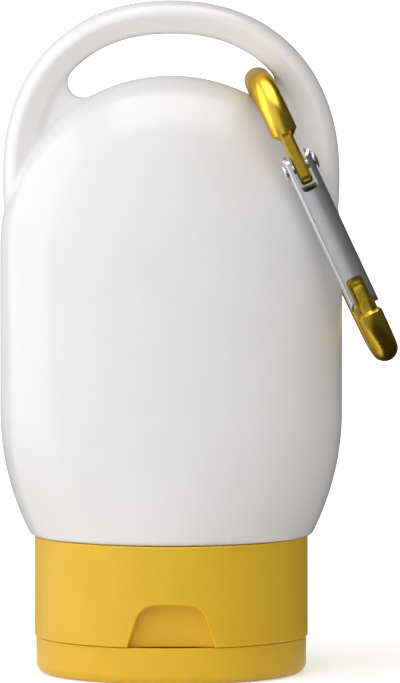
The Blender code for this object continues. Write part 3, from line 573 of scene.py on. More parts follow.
# Neck liner
# A washer of pressed polyethylene foam between the neck's land and the closure's deck, punched from
# sheet and snapped in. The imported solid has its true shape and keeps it.


def pressed_foam():
    foam = Finish("liner_foam", {"Roughness": 0.75})
    cells = foam.grain(0.35 * MM, 4.0)
    foam.feed("Base Color", foam.colours(cells, (0.74, 0.74, 0.72), (0.86, 0.86, 0.84)))
    foam.feed("Roughness", foam.between(cells, 0.6, 0.9))
    foam.bump_from(cells, 0.05 * MM)
    return foam.material


liner = frame["nodes"]["neck_liner"]
liner.data.materials.clear()
liner.data.materials.append(pressed_foam())

# Closure base
# The yellow polypropylene cap that screws on the neck: an outer skirt flush with the bottle's base, a
# threaded inner skirt, a deck with a plug ring and the spout, and a thumb recess over the lid's lip.

CAP_RADIUS = 20.3 * MM
CAP_SIDES = 240
CAP_WALL = 1.1 * MM
CAP_LEAD = 0.3 * MM
CAP_EDGE = 0.25 * MM
CAP_EDGE_STEPS = 8
RIM_GAP = 0.04 * MM
CAP_TOP = BASE_HEIGHT - RIM_GAP
LID_HEIGHT = 5.44 * MM
SEAM_GAP = 0.08 * MM
SEAM_HEIGHT = LID_HEIGHT + SEAM_GAP / 2
SEAM_ROUND = 0.15 * MM
SEAM_ROUND_STEPS = 5
DECK_THICKNESS = 1.3 * MM
DECK_UNDERSIDE = LID_HEIGHT + SEAM_GAP
DECK_TOP = DECK_UNDERSIDE + DECK_THICKNESS
INNER_SKIRT_GAP = 1.2 * MM
INNER_SKIRT_RADIUS = NECK_RADIUS + INNER_SKIRT_GAP
INNER_SKIRT_WALL = 1.2 * MM
INNER_SKIRT_TOP = 18.3 * MM
PLUG_RADIUS = NECK_RADIUS - NECK_WALL - FIT_GAP
PLUG_RING_WALL = 0.8 * MM
PLUG_RING_HEIGHT = 2.6 * MM
SPOUT_RADIUS = 4.0 * MM
SPOUT_BORE = 1.7 * MM
SPOUT_DROP = 2.2 * MM
SPOUT_ROUND = 0.5 * MM
SPOUT_ROUND_STEPS = 6


def closure_profile():
    spout_foot = DECK_UNDERSIDE - SPOUT_DROP
    plug_top = DECK_TOP + PLUG_RING_HEIGHT
    skirt = INNER_SKIRT_RADIUS
    rim = (CAP_RADIUS - CAP_EDGE, CAP_TOP - CAP_EDGE)
    seam = (CAP_RADIUS - SEAM_ROUND, DECK_UNDERSIDE + SEAM_ROUND)
    mouth = (SPOUT_RADIUS - SPOUT_ROUND, spout_foot + SPOUT_ROUND)
    profile = [(CAP_RADIUS - CAP_WALL, CAP_TOP)]
    profile += arc(rim, CAP_EDGE, 90, 0, CAP_EDGE_STEPS)
    profile += arc(seam, SEAM_ROUND, 0, -90, SEAM_ROUND_STEPS)
    profile.append((SPOUT_RADIUS, DECK_UNDERSIDE))
    profile += arc(mouth, SPOUT_ROUND, 0, -90, SPOUT_ROUND_STEPS)
    profile += [(SPOUT_BORE, spout_foot), (SPOUT_BORE, DECK_TOP)]
    profile += [(PLUG_RADIUS - PLUG_RING_WALL, DECK_TOP), (PLUG_RADIUS - PLUG_RING_WALL, plug_top)]
    profile += [(PLUG_RADIUS - CAP_LEAD, plug_top), (PLUG_RADIUS, plug_top - CAP_LEAD)]
    profile += [(PLUG_RADIUS, DECK_TOP), (skirt, DECK_TOP), (skirt, INNER_SKIRT_TOP)]
    profile += [(skirt + INNER_SKIRT_WALL, INNER_SKIRT_TOP), (skirt + INNER_SKIRT_WALL, DECK_TOP)]
    profile.append((CAP_RADIUS - CAP_WALL, DECK_TOP))
    return profile


RECESS_SEAM_WIDTH = 12.9 * MM
RECESS_TOP_WIDTH = 10.6 * MM
RECESS_HEIGHT = 6.3 * MM
RECESS_CORNER = 3.2 * MM
RECESS_CORNER_STEPS = 14
RECESS_SIDE_LEAN = 10
RECESS_SIDE_STEPS = 6
RECESS_TOP_STEPS = 5
RECESS_DEPTH = 2.5 * MM
RECESS_FILLET = 0.6 * MM
RECESS_MOUTH_ROUND = 0.35 * MM
RECESS_EDGE_STEPS = 6
PAD_WALL = 1.2 * MM
PAD_SINK = 0.6 * MM


def recess_outline():
    """The right half of the recess's arch from the seam to the top, with its outward normals."""
    seam_half = RECESS_SEAM_WIDTH / 2
    top = DECK_UNDERSIDE + RECESS_HEIGHT
    centre = (RECESS_TOP_WIDTH / 2 - RECESS_CORNER, top - RECESS_CORNER)
    shoulder = arc(centre, RECESS_CORNER, RECESS_SIDE_LEAN, 90, RECESS_CORNER_STEPS)
    lean = math.radians(RECESS_SIDE_LEAN)
    outward = (math.cos(lean), math.sin(lean))
    points = [((seam_half, SEAM_HEIGHT - CUT_OVERRUN), outward)]
    for share in shares(RECESS_SIDE_STEPS)[:-1]:
        x = seam_half + (shoulder[0][0] - seam_half) * share
        points.append(((x, SEAM_HEIGHT + (shoulder[0][1] - SEAM_HEIGHT) * share), outward))
    for x, z in shoulder:
        points.append(((x, z), ((x - centre[0]) / RECESS_CORNER, (z - centre[1]) / RECESS_CORNER)))
    for share in shares(RECESS_TOP_STEPS)[1:]:
        points.append(((centre[0] * (1.0 - share), top), (0.0, 1.0)))
    return points


def recess_cutter():
    """Rings that follow the cap's round face at the mouth, and end on a flat back with a fillet."""
    right = recess_outline()
    outline = right + [((-x, z), (-out_x, out_z)) for (x, z), (out_x, out_z) in reversed(right[:-1])]
    bends = []
    for share in shares(RECESS_EDGE_STEPS):
        turn = math.pi / 2 * share
        bends.append((1.0 - math.cos(turn), 1.0 - math.sin(turn)))
    levels = [(-CUT_OVERRUN, RECESS_MOUTH_ROUND)]
    levels += [(RECESS_MOUTH_ROUND * inward, RECESS_MOUTH_ROUND * spread) for inward, spread in bends]
    rings = []
    for below, spread in levels:
        ring = []
        for (x, z), (out_x, out_z) in outline:
            wide = x + out_x * spread
            ring.append((wide, below - math.sqrt(CAP_RADIUS**2 - wide**2), z + out_z * spread))
        rings.append(ring)
    for inward, short in bends:
        drawn_in = RECESS_FILLET * inward
        depth = RECESS_DEPTH - CAP_RADIUS - RECESS_FILLET * short
        ring = [(x - out_x * drawn_in, depth, z - out_z * drawn_in) for (x, z), (out_x, out_z) in outline]
        rings.append(ring)
    return skin(rings)


hinge_place = Vector(joints["lid_hinge"]["pos_m"])
HINGE_FLAT_DEPTH = 1.2 * MM
HINGE_FLAT_HEIGHT = 3.4 * MM
HINGE_FLAT_PLACE = CAP_RADIUS - HINGE_FLAT_DEPTH


def block(low, high):
    bm = bmesh.new()
    bmesh.ops.create_cube(bm, size=1.0)
    low = Vector(low)
    high = Vector(high)
    place = Matrix.Translation((low + high) / 2) @ Matrix.Diagonal((*(high - low), 1.0))
    bmesh.ops.transform(bm, matrix=place, verts=bm.verts)
    return finished(bm)


def wall_pad(radius, inner_side, half_wide, foot, top):
    """A thickening against the inside of the round wall, behind a recess or a hinge flat."""
    sides = sorted((math.copysign(radius, inner_side), inner_side))
    pad = shape("pad", block((-half_wide, sides[0], foot), (half_wide, sides[1], top)))
    middle = Matrix.Translation((0.0, 0.0, (foot + top) / 2))
    core = rod(radius - CAP_WALL / 2, top - foot + CUT_OVERRUN, middle, CAP_SIDES)
    work(pad, shape("core", core), "INTERSECT")
    return pad


def hinge_flat(foot, top):
    reach = CAP_RADIUS + CUT_OVERRUN
    return shape("hinge flat", block((-reach, HINGE_FLAT_PLACE, foot), (reach, reach, top)))


def yellow_polypropylene(name):
    """Satin yellow from a spark-eroded mould: fine even grain, and a faint flow mottle in the colour."""
    scatter = {"Subsurface Radius": (1.0, 0.6, 0.2), "Subsurface Scale": 0.6 * MM}
    satin = {"Roughness": 0.4, "Specular IOR Level": 0.45, "Subsurface Weight": 0.05}
    yellow = Finish(name, {**satin, **scatter})
    flow = yellow.grain(7 * MM, 2.0)
    yellow.feed("Base Color", yellow.colours(flow, (0.770, 0.468, 0.006), (0.810, 0.498, 0.010)))
    yellow.feed("Roughness", yellow.between(yellow.grain(1.6 * MM), 0.36, 0.54))
    yellow.bump_from(yellow.grain(0.16 * MM, 1.0), 0.006 * MM)
    return yellow.material


closure = shape("closure", turned(closure_profile(), CAP_SIDES))
pad_foot = DECK_TOP - PAD_SINK
recess_back = RECESS_DEPTH + PAD_WALL - CAP_RADIUS
recess_half = RECESS_SEAM_WIDTH / 2 + PAD_WALL
recess_top = DECK_UNDERSIDE + RECESS_HEIGHT + PAD_WALL
flat_top = DECK_UNDERSIDE + HINGE_FLAT_HEIGHT
flat_back = HINGE_FLAT_PLACE - PAD_WALL
flat_half = math.sqrt(CAP_RADIUS**2 - HINGE_FLAT_PLACE**2)
work(closure, wall_pad(CAP_RADIUS, recess_back, recess_half, pad_foot, recess_top), "UNION")
work(closure, wall_pad(CAP_RADIUS, flat_back, flat_half, pad_foot, flat_top + PAD_WALL), "UNION")
work(closure, shape("recess", recess_cutter()), "DIFFERENCE")
work(closure, hinge_flat(-CUT_OVERRUN, flat_top), "DIFFERENCE")
closure_thread = thread_ridge(INNER_SKIRT_RADIUS, -1, NECK_THREAD_FOOT + THREAD_PITCH / 2)
work(closure, shape("closure thread", closure_thread), "UNION")
dressed(closure, yellow_polypropylene("yellow_pp_closure"), "closure")
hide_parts("closure_base")

# Flip lid
# The yellow cover that the bottle stands on, hinged to the closure at the back. Its rim shows as a
# bright lip in the thumb recess, and a pin on its floor stops the spout.

LID_STEP_IN = 0.25 * MM
LID_RADIUS = CAP_RADIUS - LID_STEP_IN
LID_FLOOR = 1.2 * MM
LID_CORNER = 1.5 * MM
LID_CORNER_STEPS = 12
LID_RIM_ROUND = 0.12 * MM
LID_PIN_REACH = 1.4 * MM
LID_PAD_DROP = 0.2 * MM


def lid_profile():
    pin = SPOUT_BORE - FIT_GAP
    pin_top = DECK_UNDERSIDE - SPOUT_DROP + LID_PIN_REACH
    inner = LID_RADIUS - CAP_WALL
    rim = (LID_RADIUS - LID_RIM_ROUND, LID_HEIGHT - LID_RIM_ROUND)
    profile = [(0.0, pin_top)]
    profile += arc((pin - CAP_LEAD, pin_top - CAP_LEAD), CAP_LEAD, 90, 0, EDGE_STEPS)
    profile += [(pin, LID_FLOOR), (inner, LID_FLOOR), (inner, LID_HEIGHT)]
    profile += arc(rim, LID_RIM_ROUND, 90, 0, EDGE_STEPS)
    profile += arc((LID_RADIUS - LID_CORNER, LID_CORNER), LID_CORNER, 0, -90, LID_CORNER_STEPS)
    profile.append((0.0, 0.0))
    return profile


lid = shape("lid", turned(lid_profile(), CAP_SIDES, closed=False))
pad_top = LID_HEIGHT - LID_PAD_DROP
work(lid, wall_pad(LID_RADIUS, recess_back, recess_half, pad_top - CAP_WALL, pad_top), "UNION")
lid_flat_half = math.sqrt(LID_RADIUS**2 - HINGE_FLAT_PLACE**2)
work(lid, wall_pad(LID_RADIUS, flat_back, lid_flat_half, LID_FLOOR / 2, pad_top), "UNION")
work(lid, hinge_flat(-CUT_OVERRUN, LID_HEIGHT + CUT_OVERRUN), "DIFFERENCE")
dressed(lid, yellow_polypropylene("yellow_pp_lid"), "lid")
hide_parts("flip_lid")

# Film hinges
# Two thin straps of the same polypropylene, moulded in one shot with the closure and the lid. They
# bow out over the seam at the back. On the cap they fold when the lid swings; here they are fixed
# shapes that ride on no body.

FILM_WIDTH = 4.2 * MM
FILM_SPACING = 6.4 * MM
FILM_THICKNESS = 0.36 * MM
FILM_HALF_HEIGHT = 1.5 * MM
FILM_SINK = 0.1 * MM
FILM_STEPS = 32


def film_strap(side):
    """A bowed strap from the closure's flat to the lid's flat."""
    bow = hinge_place.y - HINGE_FLAT_PLACE
    middle = side * FILM_SPACING / 2
    half = FILM_WIDTH / 2
    edge = FILM_THICKNESS / 4
    rings = []
    for share in shares(FILM_STEPS):
        height = hinge_place.z + FILM_HALF_HEIGHT * (1.0 - 2.0 * share)
        low = HINGE_FLAT_PLACE - FILM_SINK + bow * (0.5 - 0.5 * math.cos(2 * math.pi * share))
        high = low + FILM_THICKNESS
        section = [(-half, low), (half, low), (half, high - edge), (half - edge, high)]
        section += [(edge - half, high), (-half, high - edge)]
        rings.append([(middle + x, y, height) for x, y in section])
    return skin(rings)


for label, side in (("left", -1), ("right", 1)):
    film = shape(f"film_strap_{label}", film_strap(side))
    painted(film, yellow_polypropylene(f"yellow_pp_film_{label}"))
    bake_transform(film)
    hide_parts(f"film_hinge_{label}")

# Carabiner frame
# A 4 mm aluminium rod bent to a narrow ring and anodised gold. One end is turned down and pressed to a
# tongue for the rivet, and the hook end to a nose that the gate closes over.

across = Vector(joints["gate_pivot"]["axis"])
away = -Vector(joints["carabiner_swing"]["axis"])
upward = across.cross(away)
RING_FRAME = Matrix((across, away, upward)).transposed().to_4x4()
RING_FRAME.translation = RING_PLACE
pivot = RING_FRAME.inverted() @ Vector(joints["gate_pivot"]["pos_m"])
GATE_LINE = pivot.y
RIVET_PLACE = -pivot.z

RING_LENGTH = 43.05 * MM
RING_TOP_BEND = 7.0 * MM
RING_FOOT_BEND = 8.5 * MM
HOOK_BEND = 6.0 * MM
SPINE_REACH = 11.524 * MM
ROD_STRAIGHT = 0.4 * MM
ROD_END = RING_TOP_BEND + ROD_STRAIGHT
ROD_CHAMFER = 1.1 * MM
ROD_SIDES = 40
BEND_STEPS = 28
HOOK_END = RING_LENGTH - HOOK_BEND - ROD_CHAMFER
TONGUE_THICKNESS = 1.85 * MM
TONGUE_HALF_HEIGHT = 1.5 * MM
TONGUE_ROOT = 2.0 * MM
TONGUE_REACH = 2.8 * MM
TONGUE_END = RIVET_PLACE + TONGUE_REACH
TONGUE_END_STEPS = 20
TONGUE_EDGE = 0.42 * MM
TONGUE_EDGE_STEPS = 4
NOSE_LENGTH = 4.2 * MM
NOSE_TIP = HOOK_END - NOSE_LENGTH
RIVET_RADIUS = 0.8 * MM
BEVEL_DEGREES = 50


def ring_path():
    """The rod's middle line as (y, along) points, from the hinge end round to the hook end."""
    front = GATE_LINE
    back = SPINE_REACH
    path = [(front, ROD_END + ROD_CHAMFER), (front, ROD_END)]
    path += arc((front + RING_TOP_BEND, RING_TOP_BEND), RING_TOP_BEND, 180, 270, BEND_STEPS)
    path += arc((back - RING_TOP_BEND, RING_TOP_BEND), RING_TOP_BEND, 270, 360, BEND_STEPS)
    path += arc((back - RING_FOOT_BEND, RING_LENGTH - RING_FOOT_BEND), RING_FOOT_BEND, 0, 90, BEND_STEPS)
    path += arc((front + HOOK_BEND, RING_LENGTH - HOOK_BEND), HOOK_BEND, 90, 180, BEND_STEPS)
    path.append((front, HOOK_END))
    return path


def ring_rod():
    path = [Vector((0.0, y, -along)) for y, along in ring_path()]
    sideways = Vector((1.0, 0.0, 0.0))
    turns = [2 * math.pi * share for share in shares(ROD_SIDES)[:-1]]
    rings = []
    for index, place in enumerate(path):
        run = path[min(index + 1, len(path) - 1)] - path[max(index - 1, 0)]
        inward = sideways.cross(run.normalized())
        radius = TONGUE_THICKNESS / 2 if index in (0, len(path) - 1) else ROD_RADIUS
        ring = [place + radius * (math.cos(turn) * sideways + math.sin(turn) * inward) for turn in turns]
        rings.append(ring)
    return skin(rings)


def side_plate(outline, thickness):
    """A plate in the ring's plane, from an outline of (height above the gate's line, along) points."""
    sides = (-thickness / 2, thickness / 2)
    rings = [[(x, GATE_LINE + height, -along) for height, along in outline] for x in sides]
    return shape("plate", skin(rings))


def rivet_place():
    """Turns what was built on +Z square to the ring's plane and puts it where the gate turns."""
    return Matrix.Translation((0.0, GATE_LINE, -RIVET_PLACE)) @ Matrix.Rotation(math.pi / 2, 4, "Y")


def rivet_hole(length):
    return shape("rivet hole", rod(RIVET_RADIUS + FIT_GAP, length, rivet_place(), ROD_SIDES))


def bevelled(obj, width, segments=2):
    edges = obj.modifiers.new("edges", "BEVEL")
    edges.width = width
    edges.segments = segments
    edges.limit_method = "ANGLE"
    edges.angle_limit = math.radians(BEVEL_DEGREES)
    return settled(obj)


def pressed_plate(outline):
    return bevelled(side_plate(outline, TONGUE_THICKNESS), TONGUE_EDGE, TONGUE_EDGE_STEPS)


def hinge_tongue():
    half = TONGUE_HALF_HEIGHT
    root = ROD_END - TONGUE_ROOT
    round_end = arc((0.0, TONGUE_END - half), half, 0, 180, TONGUE_END_STEPS)
    return pressed_plate([(half, root), *round_end, (-half, root)])


def hook_nose():
    half = TONGUE_HALF_HEIGHT
    root = RING_LENGTH - HOOK_BEND + TONGUE_ROOT / 2
    round_tip = arc((0.0, NOSE_TIP + half), half, 180, 360, TONGUE_END_STEPS)
    return pressed_plate([(half, root), (-half, root), *round_tip])


PRESSED_SHADE_FADE = 0.25 * MM
GATE_LEAN = (0.0, math.radians(-25), 0.0)


def pressed_and_shaded_zone(finish):
    """1 over the tongue and the nose, between the rod's two ends on the gate's side, where the gate's shade
    is painted; 0 elsewhere.
    """
    middle_along = (ROD_END + ROD_CHAMFER + HOOK_END) / 2
    half_along = (HOOK_END - ROD_END - ROD_CHAMFER) / 2
    middle = RING_FRAME @ Vector((0.0, GATE_LINE, -middle_along))
    offset = add_node(finish.tree, "VectorMath", {1: middle}, {0: finish.space}, operation="SUBTRACT")
    within = []
    for axis, half in ((upward, half_along), (away, ROD_RADIUS * 2)):
        source = {0: offset.outputs[0]}
        reach = add_node(finish.tree, "VectorMath", {1: axis}, source, operation="DOT_PRODUCT")
        size = add_node(finish.tree, "Math", None, {0: reach.outputs["Value"]}, operation="ABSOLUTE")
        within.append(finish.between(size.outputs[0], 1.0, 0.0, half - PRESSED_SHADE_FADE, half + PRESSED_SHADE_FADE))
    return finish.product(*within)


def gold_anodising():
    """Clear gold dye over drawn aluminium: fine lines along the rod, and a rougher, darker gold on the
    pressed tongue and nose, whose darkness is the gate's painted shade.
    """
    clear = {"Specular Tint": (0.62, 0.42, 0.05, 1.0), "Coat Weight": 0.25, "Coat Roughness": 0.22}
    gold = Finish("gold_anodised", {"Roughness": 0.3, "Metallic": 1.0, **clear})
    zone = pressed_and_shaded_zone(gold)
    dye = gold.colours(gold.grain(5 * MM, 2.0), (0.700, 0.465, 0.040), (0.800, 0.545, 0.060))
    # Darker gold under the gate: partly the pressed metal's own speckled finish and partly painted shade
    # for the gate over the tongue and the nose.
    shaded_pressed_gold = gold.colours(gold.grain(0.3 * MM, 3.0), (0.540, 0.360, 0.020), (0.800, 0.545, 0.040))
    shade = add_node(gold.tree, "Mix", None, {"Factor": zone, "A": dye, "B": shaded_pressed_gold}, data_type="RGBA")
    gold.feed("Base Color", shade.outputs["Result"])
    gold.feed("Roughness", gold.between(zone, 0.27, 0.36))
    gold.bump_from(gold.grain(0.12 * MM, 2.0, (1.0, 1.0, 30.0), GATE_LEAN), 0.003 * MM)
    return gold.material


ring = shape("carabiner_ring", ring_rod())
work(ring, hinge_tongue(), "UNION")
work(ring, hook_nose(), "UNION")
work(ring, rivet_hole(ROD_RADIUS * 2), "DIFFERENCE")
ring.data.transform(RING_FRAME)
dressed(ring, gold_anodising(), "carabiner")
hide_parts("carabiner_frame")

# Carabiner gate
# Bare aluminium sheet folded to a channel round the tongue and the nose: a web to the front, two
# cheeks with round ears at the rivet, and an open notch at each end of the web.

GATE_SHEET = 0.7 * MM
GATE_SIDE_GAP = 0.525 * MM
GATE_HALF_WIDTH = TONGUE_THICKNESS / 2 + GATE_SIDE_GAP + GATE_SHEET
GATE_BEND = 0.9 * MM
GATE_BEND_STEPS = 8
GATE_INNER_STEPS = 6
GATE_CROWN_TURN = 14
GATE_CROWN_STEPS = 10
GATE_WEB_RISE = 2.1 * MM
GATE_CHEEK_DROP = 1.9 * MM
GATE_EAR_RADIUS = 2.2 * MM
GATE_EAR_STEPS = 28
GATE_TOP_NOTCH = 3.75 * MM
GATE_FOOT_NOTCH = 0.8 * MM
GATE_WEB_TOP = RIVET_PLACE + GATE_TOP_NOTCH
GATE_WEB_FOOT = NOSE_TIP - GATE_FOOT_NOTCH
GATE_TIP = HOOK_END - FIT_GAP
GATE_TIP_SLANT = 1.2 * MM
GATE_EDGE = 0.07 * MM
NOTCH_LEDGE = 0.15 * MM


def folded_channel():
    inner_bend = GATE_BEND - GATE_SHEET
    front = GATE_LINE - GATE_WEB_RISE
    back = GATE_LINE + GATE_CHEEK_DROP
    bend_place = GATE_HALF_WIDTH - GATE_BEND
    crown = math.radians(GATE_CROWN_TURN)
    crown_radius = bend_place / math.sin(crown) + GATE_BEND
    bend_height = front + crown_radius - bend_place / math.tan(crown)
    left = 270 - GATE_CROWN_TURN
    right = 270 + GATE_CROWN_TURN
    section = [(-GATE_HALF_WIDTH, back)]
    section += arc((-bend_place, bend_height), GATE_BEND, 180, left, GATE_BEND_STEPS)[:-1]
    section += arc((0.0, front + crown_radius), crown_radius, left, right, GATE_CROWN_STEPS)
    section += arc((bend_place, bend_height), GATE_BEND, right, 360, GATE_BEND_STEPS)[1:]
    inside = GATE_HALF_WIDTH - GATE_SHEET
    section += [(GATE_HALF_WIDTH, back), (inside, back)]
    section += arc((inside - inner_bend, front + GATE_BEND), inner_bend, 0, -90, GATE_INNER_STEPS)
    section += arc((inner_bend - inside, front + GATE_BEND), inner_bend, 270, 180, GATE_INNER_STEPS)
    section.append((-inside, back))
    top = -(RIVET_PLACE - GATE_EAR_RADIUS - CUT_OVERRUN)
    foot = -(GATE_TIP + CUT_OVERRUN)
    return skin([[(x, y, height) for x, y in section] for height in (top, foot)])


def gate_side_outline():
    front = -GATE_WEB_RISE - CUT_OVERRUN
    slant = GATE_TIP - GATE_TIP_SLANT
    outline = arc((0.0, RIVET_PLACE), GATE_EAR_RADIUS, 0, -180, GATE_EAR_STEPS)
    outline += [(front, RIVET_PLACE), (front, slant), (-GATE_WEB_RISE, slant)]
    outline += [(GATE_TIP_SLANT - GATE_WEB_RISE, GATE_TIP), (GATE_EAR_RADIUS, GATE_TIP)]
    return outline


def notch(start, end):
    """The opening in the web at one end, with a rounded bottom, cut from the front."""
    half = GATE_HALF_WIDTH - GATE_SHEET - NOTCH_LEDGE
    quarter = math.copysign(90, end - start)
    middle = end - math.copysign(GATE_SHEET, end - start)
    outline = [(half, start)]
    outline += arc((half - GATE_SHEET, middle), GATE_SHEET, 0, quarter, GATE_BEND_STEPS)
    outline += arc((GATE_SHEET - half, middle), GATE_SHEET, quarter, 2 * quarter, GATE_BEND_STEPS)
    outline.append((-half, start))
    front = GATE_LINE - GATE_WEB_RISE - CUT_OVERRUN
    return shape("notch", skin([[(x, y, -along) for x, along in outline] for y in (front, GATE_LINE)]))


def brushed_aluminium(name, roughness=0.3):
    """Mill-finish sheet with rolling lines along the gate and a few scuffs across its polish."""
    bare = Finish(name, {"Roughness": roughness, "Metallic": 1.0})
    lines = bare.grain(0.16 * MM, 3.0, (1.0, 1.0, 40.0), GATE_LEAN)
    bare.feed("Base Color", bare.colours(lines, (0.66, 0.67, 0.69), (0.80, 0.80, 0.81)))
    bare.feed("Roughness", bare.between(bare.grain(1.8 * MM), roughness - 0.08, roughness + 0.08))
    bare.bump_from(lines, 0.006 * MM)
    return bare.material


gate = shape("gate_channel", folded_channel())
through = GATE_HALF_WIDTH * 2 + CUT_OVERRUN
work(gate, side_plate(gate_side_outline(), through), "INTERSECT")
work(gate, notch(RIVET_PLACE - GATE_EAR_RADIUS - CUT_OVERRUN, GATE_WEB_TOP), "DIFFERENCE")
work(gate, notch(GATE_TIP + CUT_OVERRUN, GATE_WEB_FOOT), "DIFFERENCE")
work(gate, rivet_hole(through), "DIFFERENCE")
bevelled(gate, GATE_EDGE)
gate.data.transform(RING_FRAME)
dressed(gate, brushed_aluminium("bare_aluminium"), "gate")
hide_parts("carabiner_gate")

# Gate rivet
# An aluminium pin through both ears and the tongue, spun over to a low dome at each end.

RIVET_GAP = 0.2 * MM
RIVET_HEAD_RADIUS = 1.35 * MM
RIVET_HEAD_HEIGHT = 0.45 * MM
RIVET_HEAD_STEPS = 12
RIVET_SIDES = 48
RIVET_ROUGHNESS = 0.26


def rivet_mesh():
    seat = GATE_HALF_WIDTH + RIVET_GAP
    half = [(0.0, seat + RIVET_HEAD_HEIGHT)]
    for share in shares(RIVET_HEAD_STEPS)[1:]:
        turn = math.pi / 2 * share
        half.append((RIVET_HEAD_RADIUS * math.sin(turn), seat + RIVET_HEAD_HEIGHT * math.cos(turn)))
    half.append((RIVET_RADIUS, seat))
    profile = half + [(radius, -height) for radius, height in reversed(half)]
    mesh = turned(profile, RIVET_SIDES, closed=False)
    mesh.transform(RING_FRAME @ rivet_place())
    return mesh


rivet = shape("rivet", rivet_mesh())
dressed(rivet, brushed_aluminium("rivet_aluminium", RIVET_ROUGHNESS), "carabiner")
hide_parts("gate_rivet")

# Gate spring
# A strip of blued spring steel bent in the channel: its heel stands behind the end of the tongue, and
# its flat end presses on the web. Its dark colour is partly the blued steel's own and partly painted shade.

SPRING_SHEET = 0.3 * MM
SPRING_HALF_WIDTH = 1.15 * MM
SPRING_LENGTH = 7.0 * MM
SPRING_STEPS = 28
SPRING_GAP = 0.35 * MM
SPRING_START = TONGUE_END + SPRING_GAP
SPRING_HEEL = GATE_LINE + TONGUE_HALF_HEIGHT
SPRING_SEAT = GATE_LINE - GATE_WEB_RISE + GATE_SHEET + FIT_GAP + SPRING_SHEET


def spring_strip():
    half = SPRING_HALF_WIDTH
    rings = []
    for share in shares(SPRING_STEPS):
        lift = 0.5 + 0.5 * math.cos(math.pi * min(2 * share, 1.0))
        middle = SPRING_SEAT + (SPRING_HEEL - SPRING_SEAT) * lift
        low = middle - SPRING_SHEET / 2
        high = middle + SPRING_SHEET / 2
        height = -(SPRING_START + SPRING_LENGTH * share)
        section = ((-half, low), (half, low), (half, high), (-half, high))
        rings.append([(x, y, height) for x, y in section])
    return skin(rings)


def spring_steel():
    steel = Finish("spring_steel", {"Roughness": 0.3, "Metallic": 1.0})
    drawn = steel.grain(0.1 * MM, 2.0, (1.0, 1.0, 20.0), GATE_LEAN)
    # Darker than bare steel: partly the blued steel's own colour and partly painted shade for the channel
    # behind the notch.
    steel.feed("Base Color", steel.colours(drawn, (0.15, 0.14, 0.13), (0.24, 0.22, 0.20)))
    steel.feed("Roughness", steel.between(drawn, 0.18, 0.42))
    return steel.material


spring = shape("spring", spring_strip())
spring.data.transform(RING_FRAME)
dressed(spring, spring_steel(), "gate")
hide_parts("gate_spring")

# Studio
# A white floor that runs out into the white background, a broad soft light from the front left, and
# for reflections alone a tall box at the left, a box overhead and grey cards round the other sides.

WORLD_STRENGTH = 0.43
WORLD_COLOUR = (1.0, 0.972, 0.950)
WHITE = (1.0, 1.0, 1.0, 1.0)


def rays_that_see_white(tree):
    """1 for rays from the camera and for reflected and refracted rays, 0 for the light on the object."""
    path = add_node(tree, "LightPath")
    total = path.outputs["Is Camera Ray"]
    for name in ("Is Glossy Ray", "Is Transmission Ray"):
        sources = {0: total, 1: path.outputs[name]}
        total = add_node(tree, "Math", None, sources, operation="MAXIMUM").outputs[0]
    return total


def white_world():
    world = bpy.data.worlds.new("studio")
    world.use_nodes = True
    tree = world.node_tree
    light = tree.nodes["Background"]
    light.inputs["Color"].default_value = (*WORLD_COLOUR, 1.0)
    light.inputs["Strength"].default_value = WORLD_STRENGTH
    seen = add_node(tree, "Background", {"Color": WHITE})
    sources = {0: rays_that_see_white(tree), 1: light.outputs[0], 2: seen.outputs[0]}
    mix = add_node(tree, "MixShader", None, sources)
    tree.links.new(mix.outputs[0], tree.nodes["World Output"].inputs["Surface"])
    bpy.context.scene.world = world


def shown_as(finish, shader):
    """The material with another shader in place of its own."""
    finish.tree.nodes.remove(finish.shader)
    finish.tree.links.new(shader.outputs[0], finish.tree.nodes["Material Output"].inputs["Surface"])
    return finish.material


FLOOR_RADIUS = 3.0
FLOOR_SIDES = 96
FLOOR_DROP = 0.05 * MM
FLOOR_GREY = 0.88
FLOOR_NEAR = 0.04
FLOOR_FAR = 0.20
FLOOR_NEAR_GLOW = 0.48


def floor_material():
    """Plain white near the object, where its shadow falls, and the background's white further out."""
    white = Finish("floor")
    plain = add_node(white.tree, "BsdfDiffuse", {"Color": (FLOOR_GREY, FLOOR_GREY, FLOOR_GREY, 1.0)})
    reach = add_node(white.tree, "VectorMath", None, {0: white.space}, operation="LENGTH").outputs["Value"]
    spread = white.between(reach, FLOOR_NEAR_GLOW, 1.0, FLOOR_NEAR, FLOOR_FAR, "SMOOTHSTEP")
    strength = white.product(spread, rays_that_see_white(white.tree))
    glow = add_node(white.tree, "Emission", None, {"Strength": strength})
    both = add_node(white.tree, "AddShader", None, {0: plain.outputs[0], 1: glow.outputs[0]})
    return shown_as(white, both)


def floor_disc():
    bm = bmesh.new()
    bmesh.ops.create_circle(bm, cap_ends=True, segments=FLOOR_SIDES, radius=FLOOR_RADIUS)
    floor = shape("floor", mesh_from(bm))
    floor.location.z = -FLOOR_DROP
    floor.data.materials.append(floor_material())


CARD_START = -57
CARD_END = 236
CARD_STEPS = 48
CARD_RADIUS = 0.9
CARD_HEIGHT = 1.35
CARD_FOOT = 0.035
CARD_LIFT = 0.001
CARD_NEAR = 0.15
CARD_FAR = 0.5
CARD_NEAR_STRENGTH = 0.4
CARD_BEHIND_START = -0.1
CARD_BEHIND_END = 0.6
CARD_BEHIND_STRENGTH = 0.8
CARD_GREYS = ((0.10, 0.95), (0.28, 0.88), (0.46, 0.80), (0.57, 0.38), (0.68, 0.12), (0.95, 0.10))


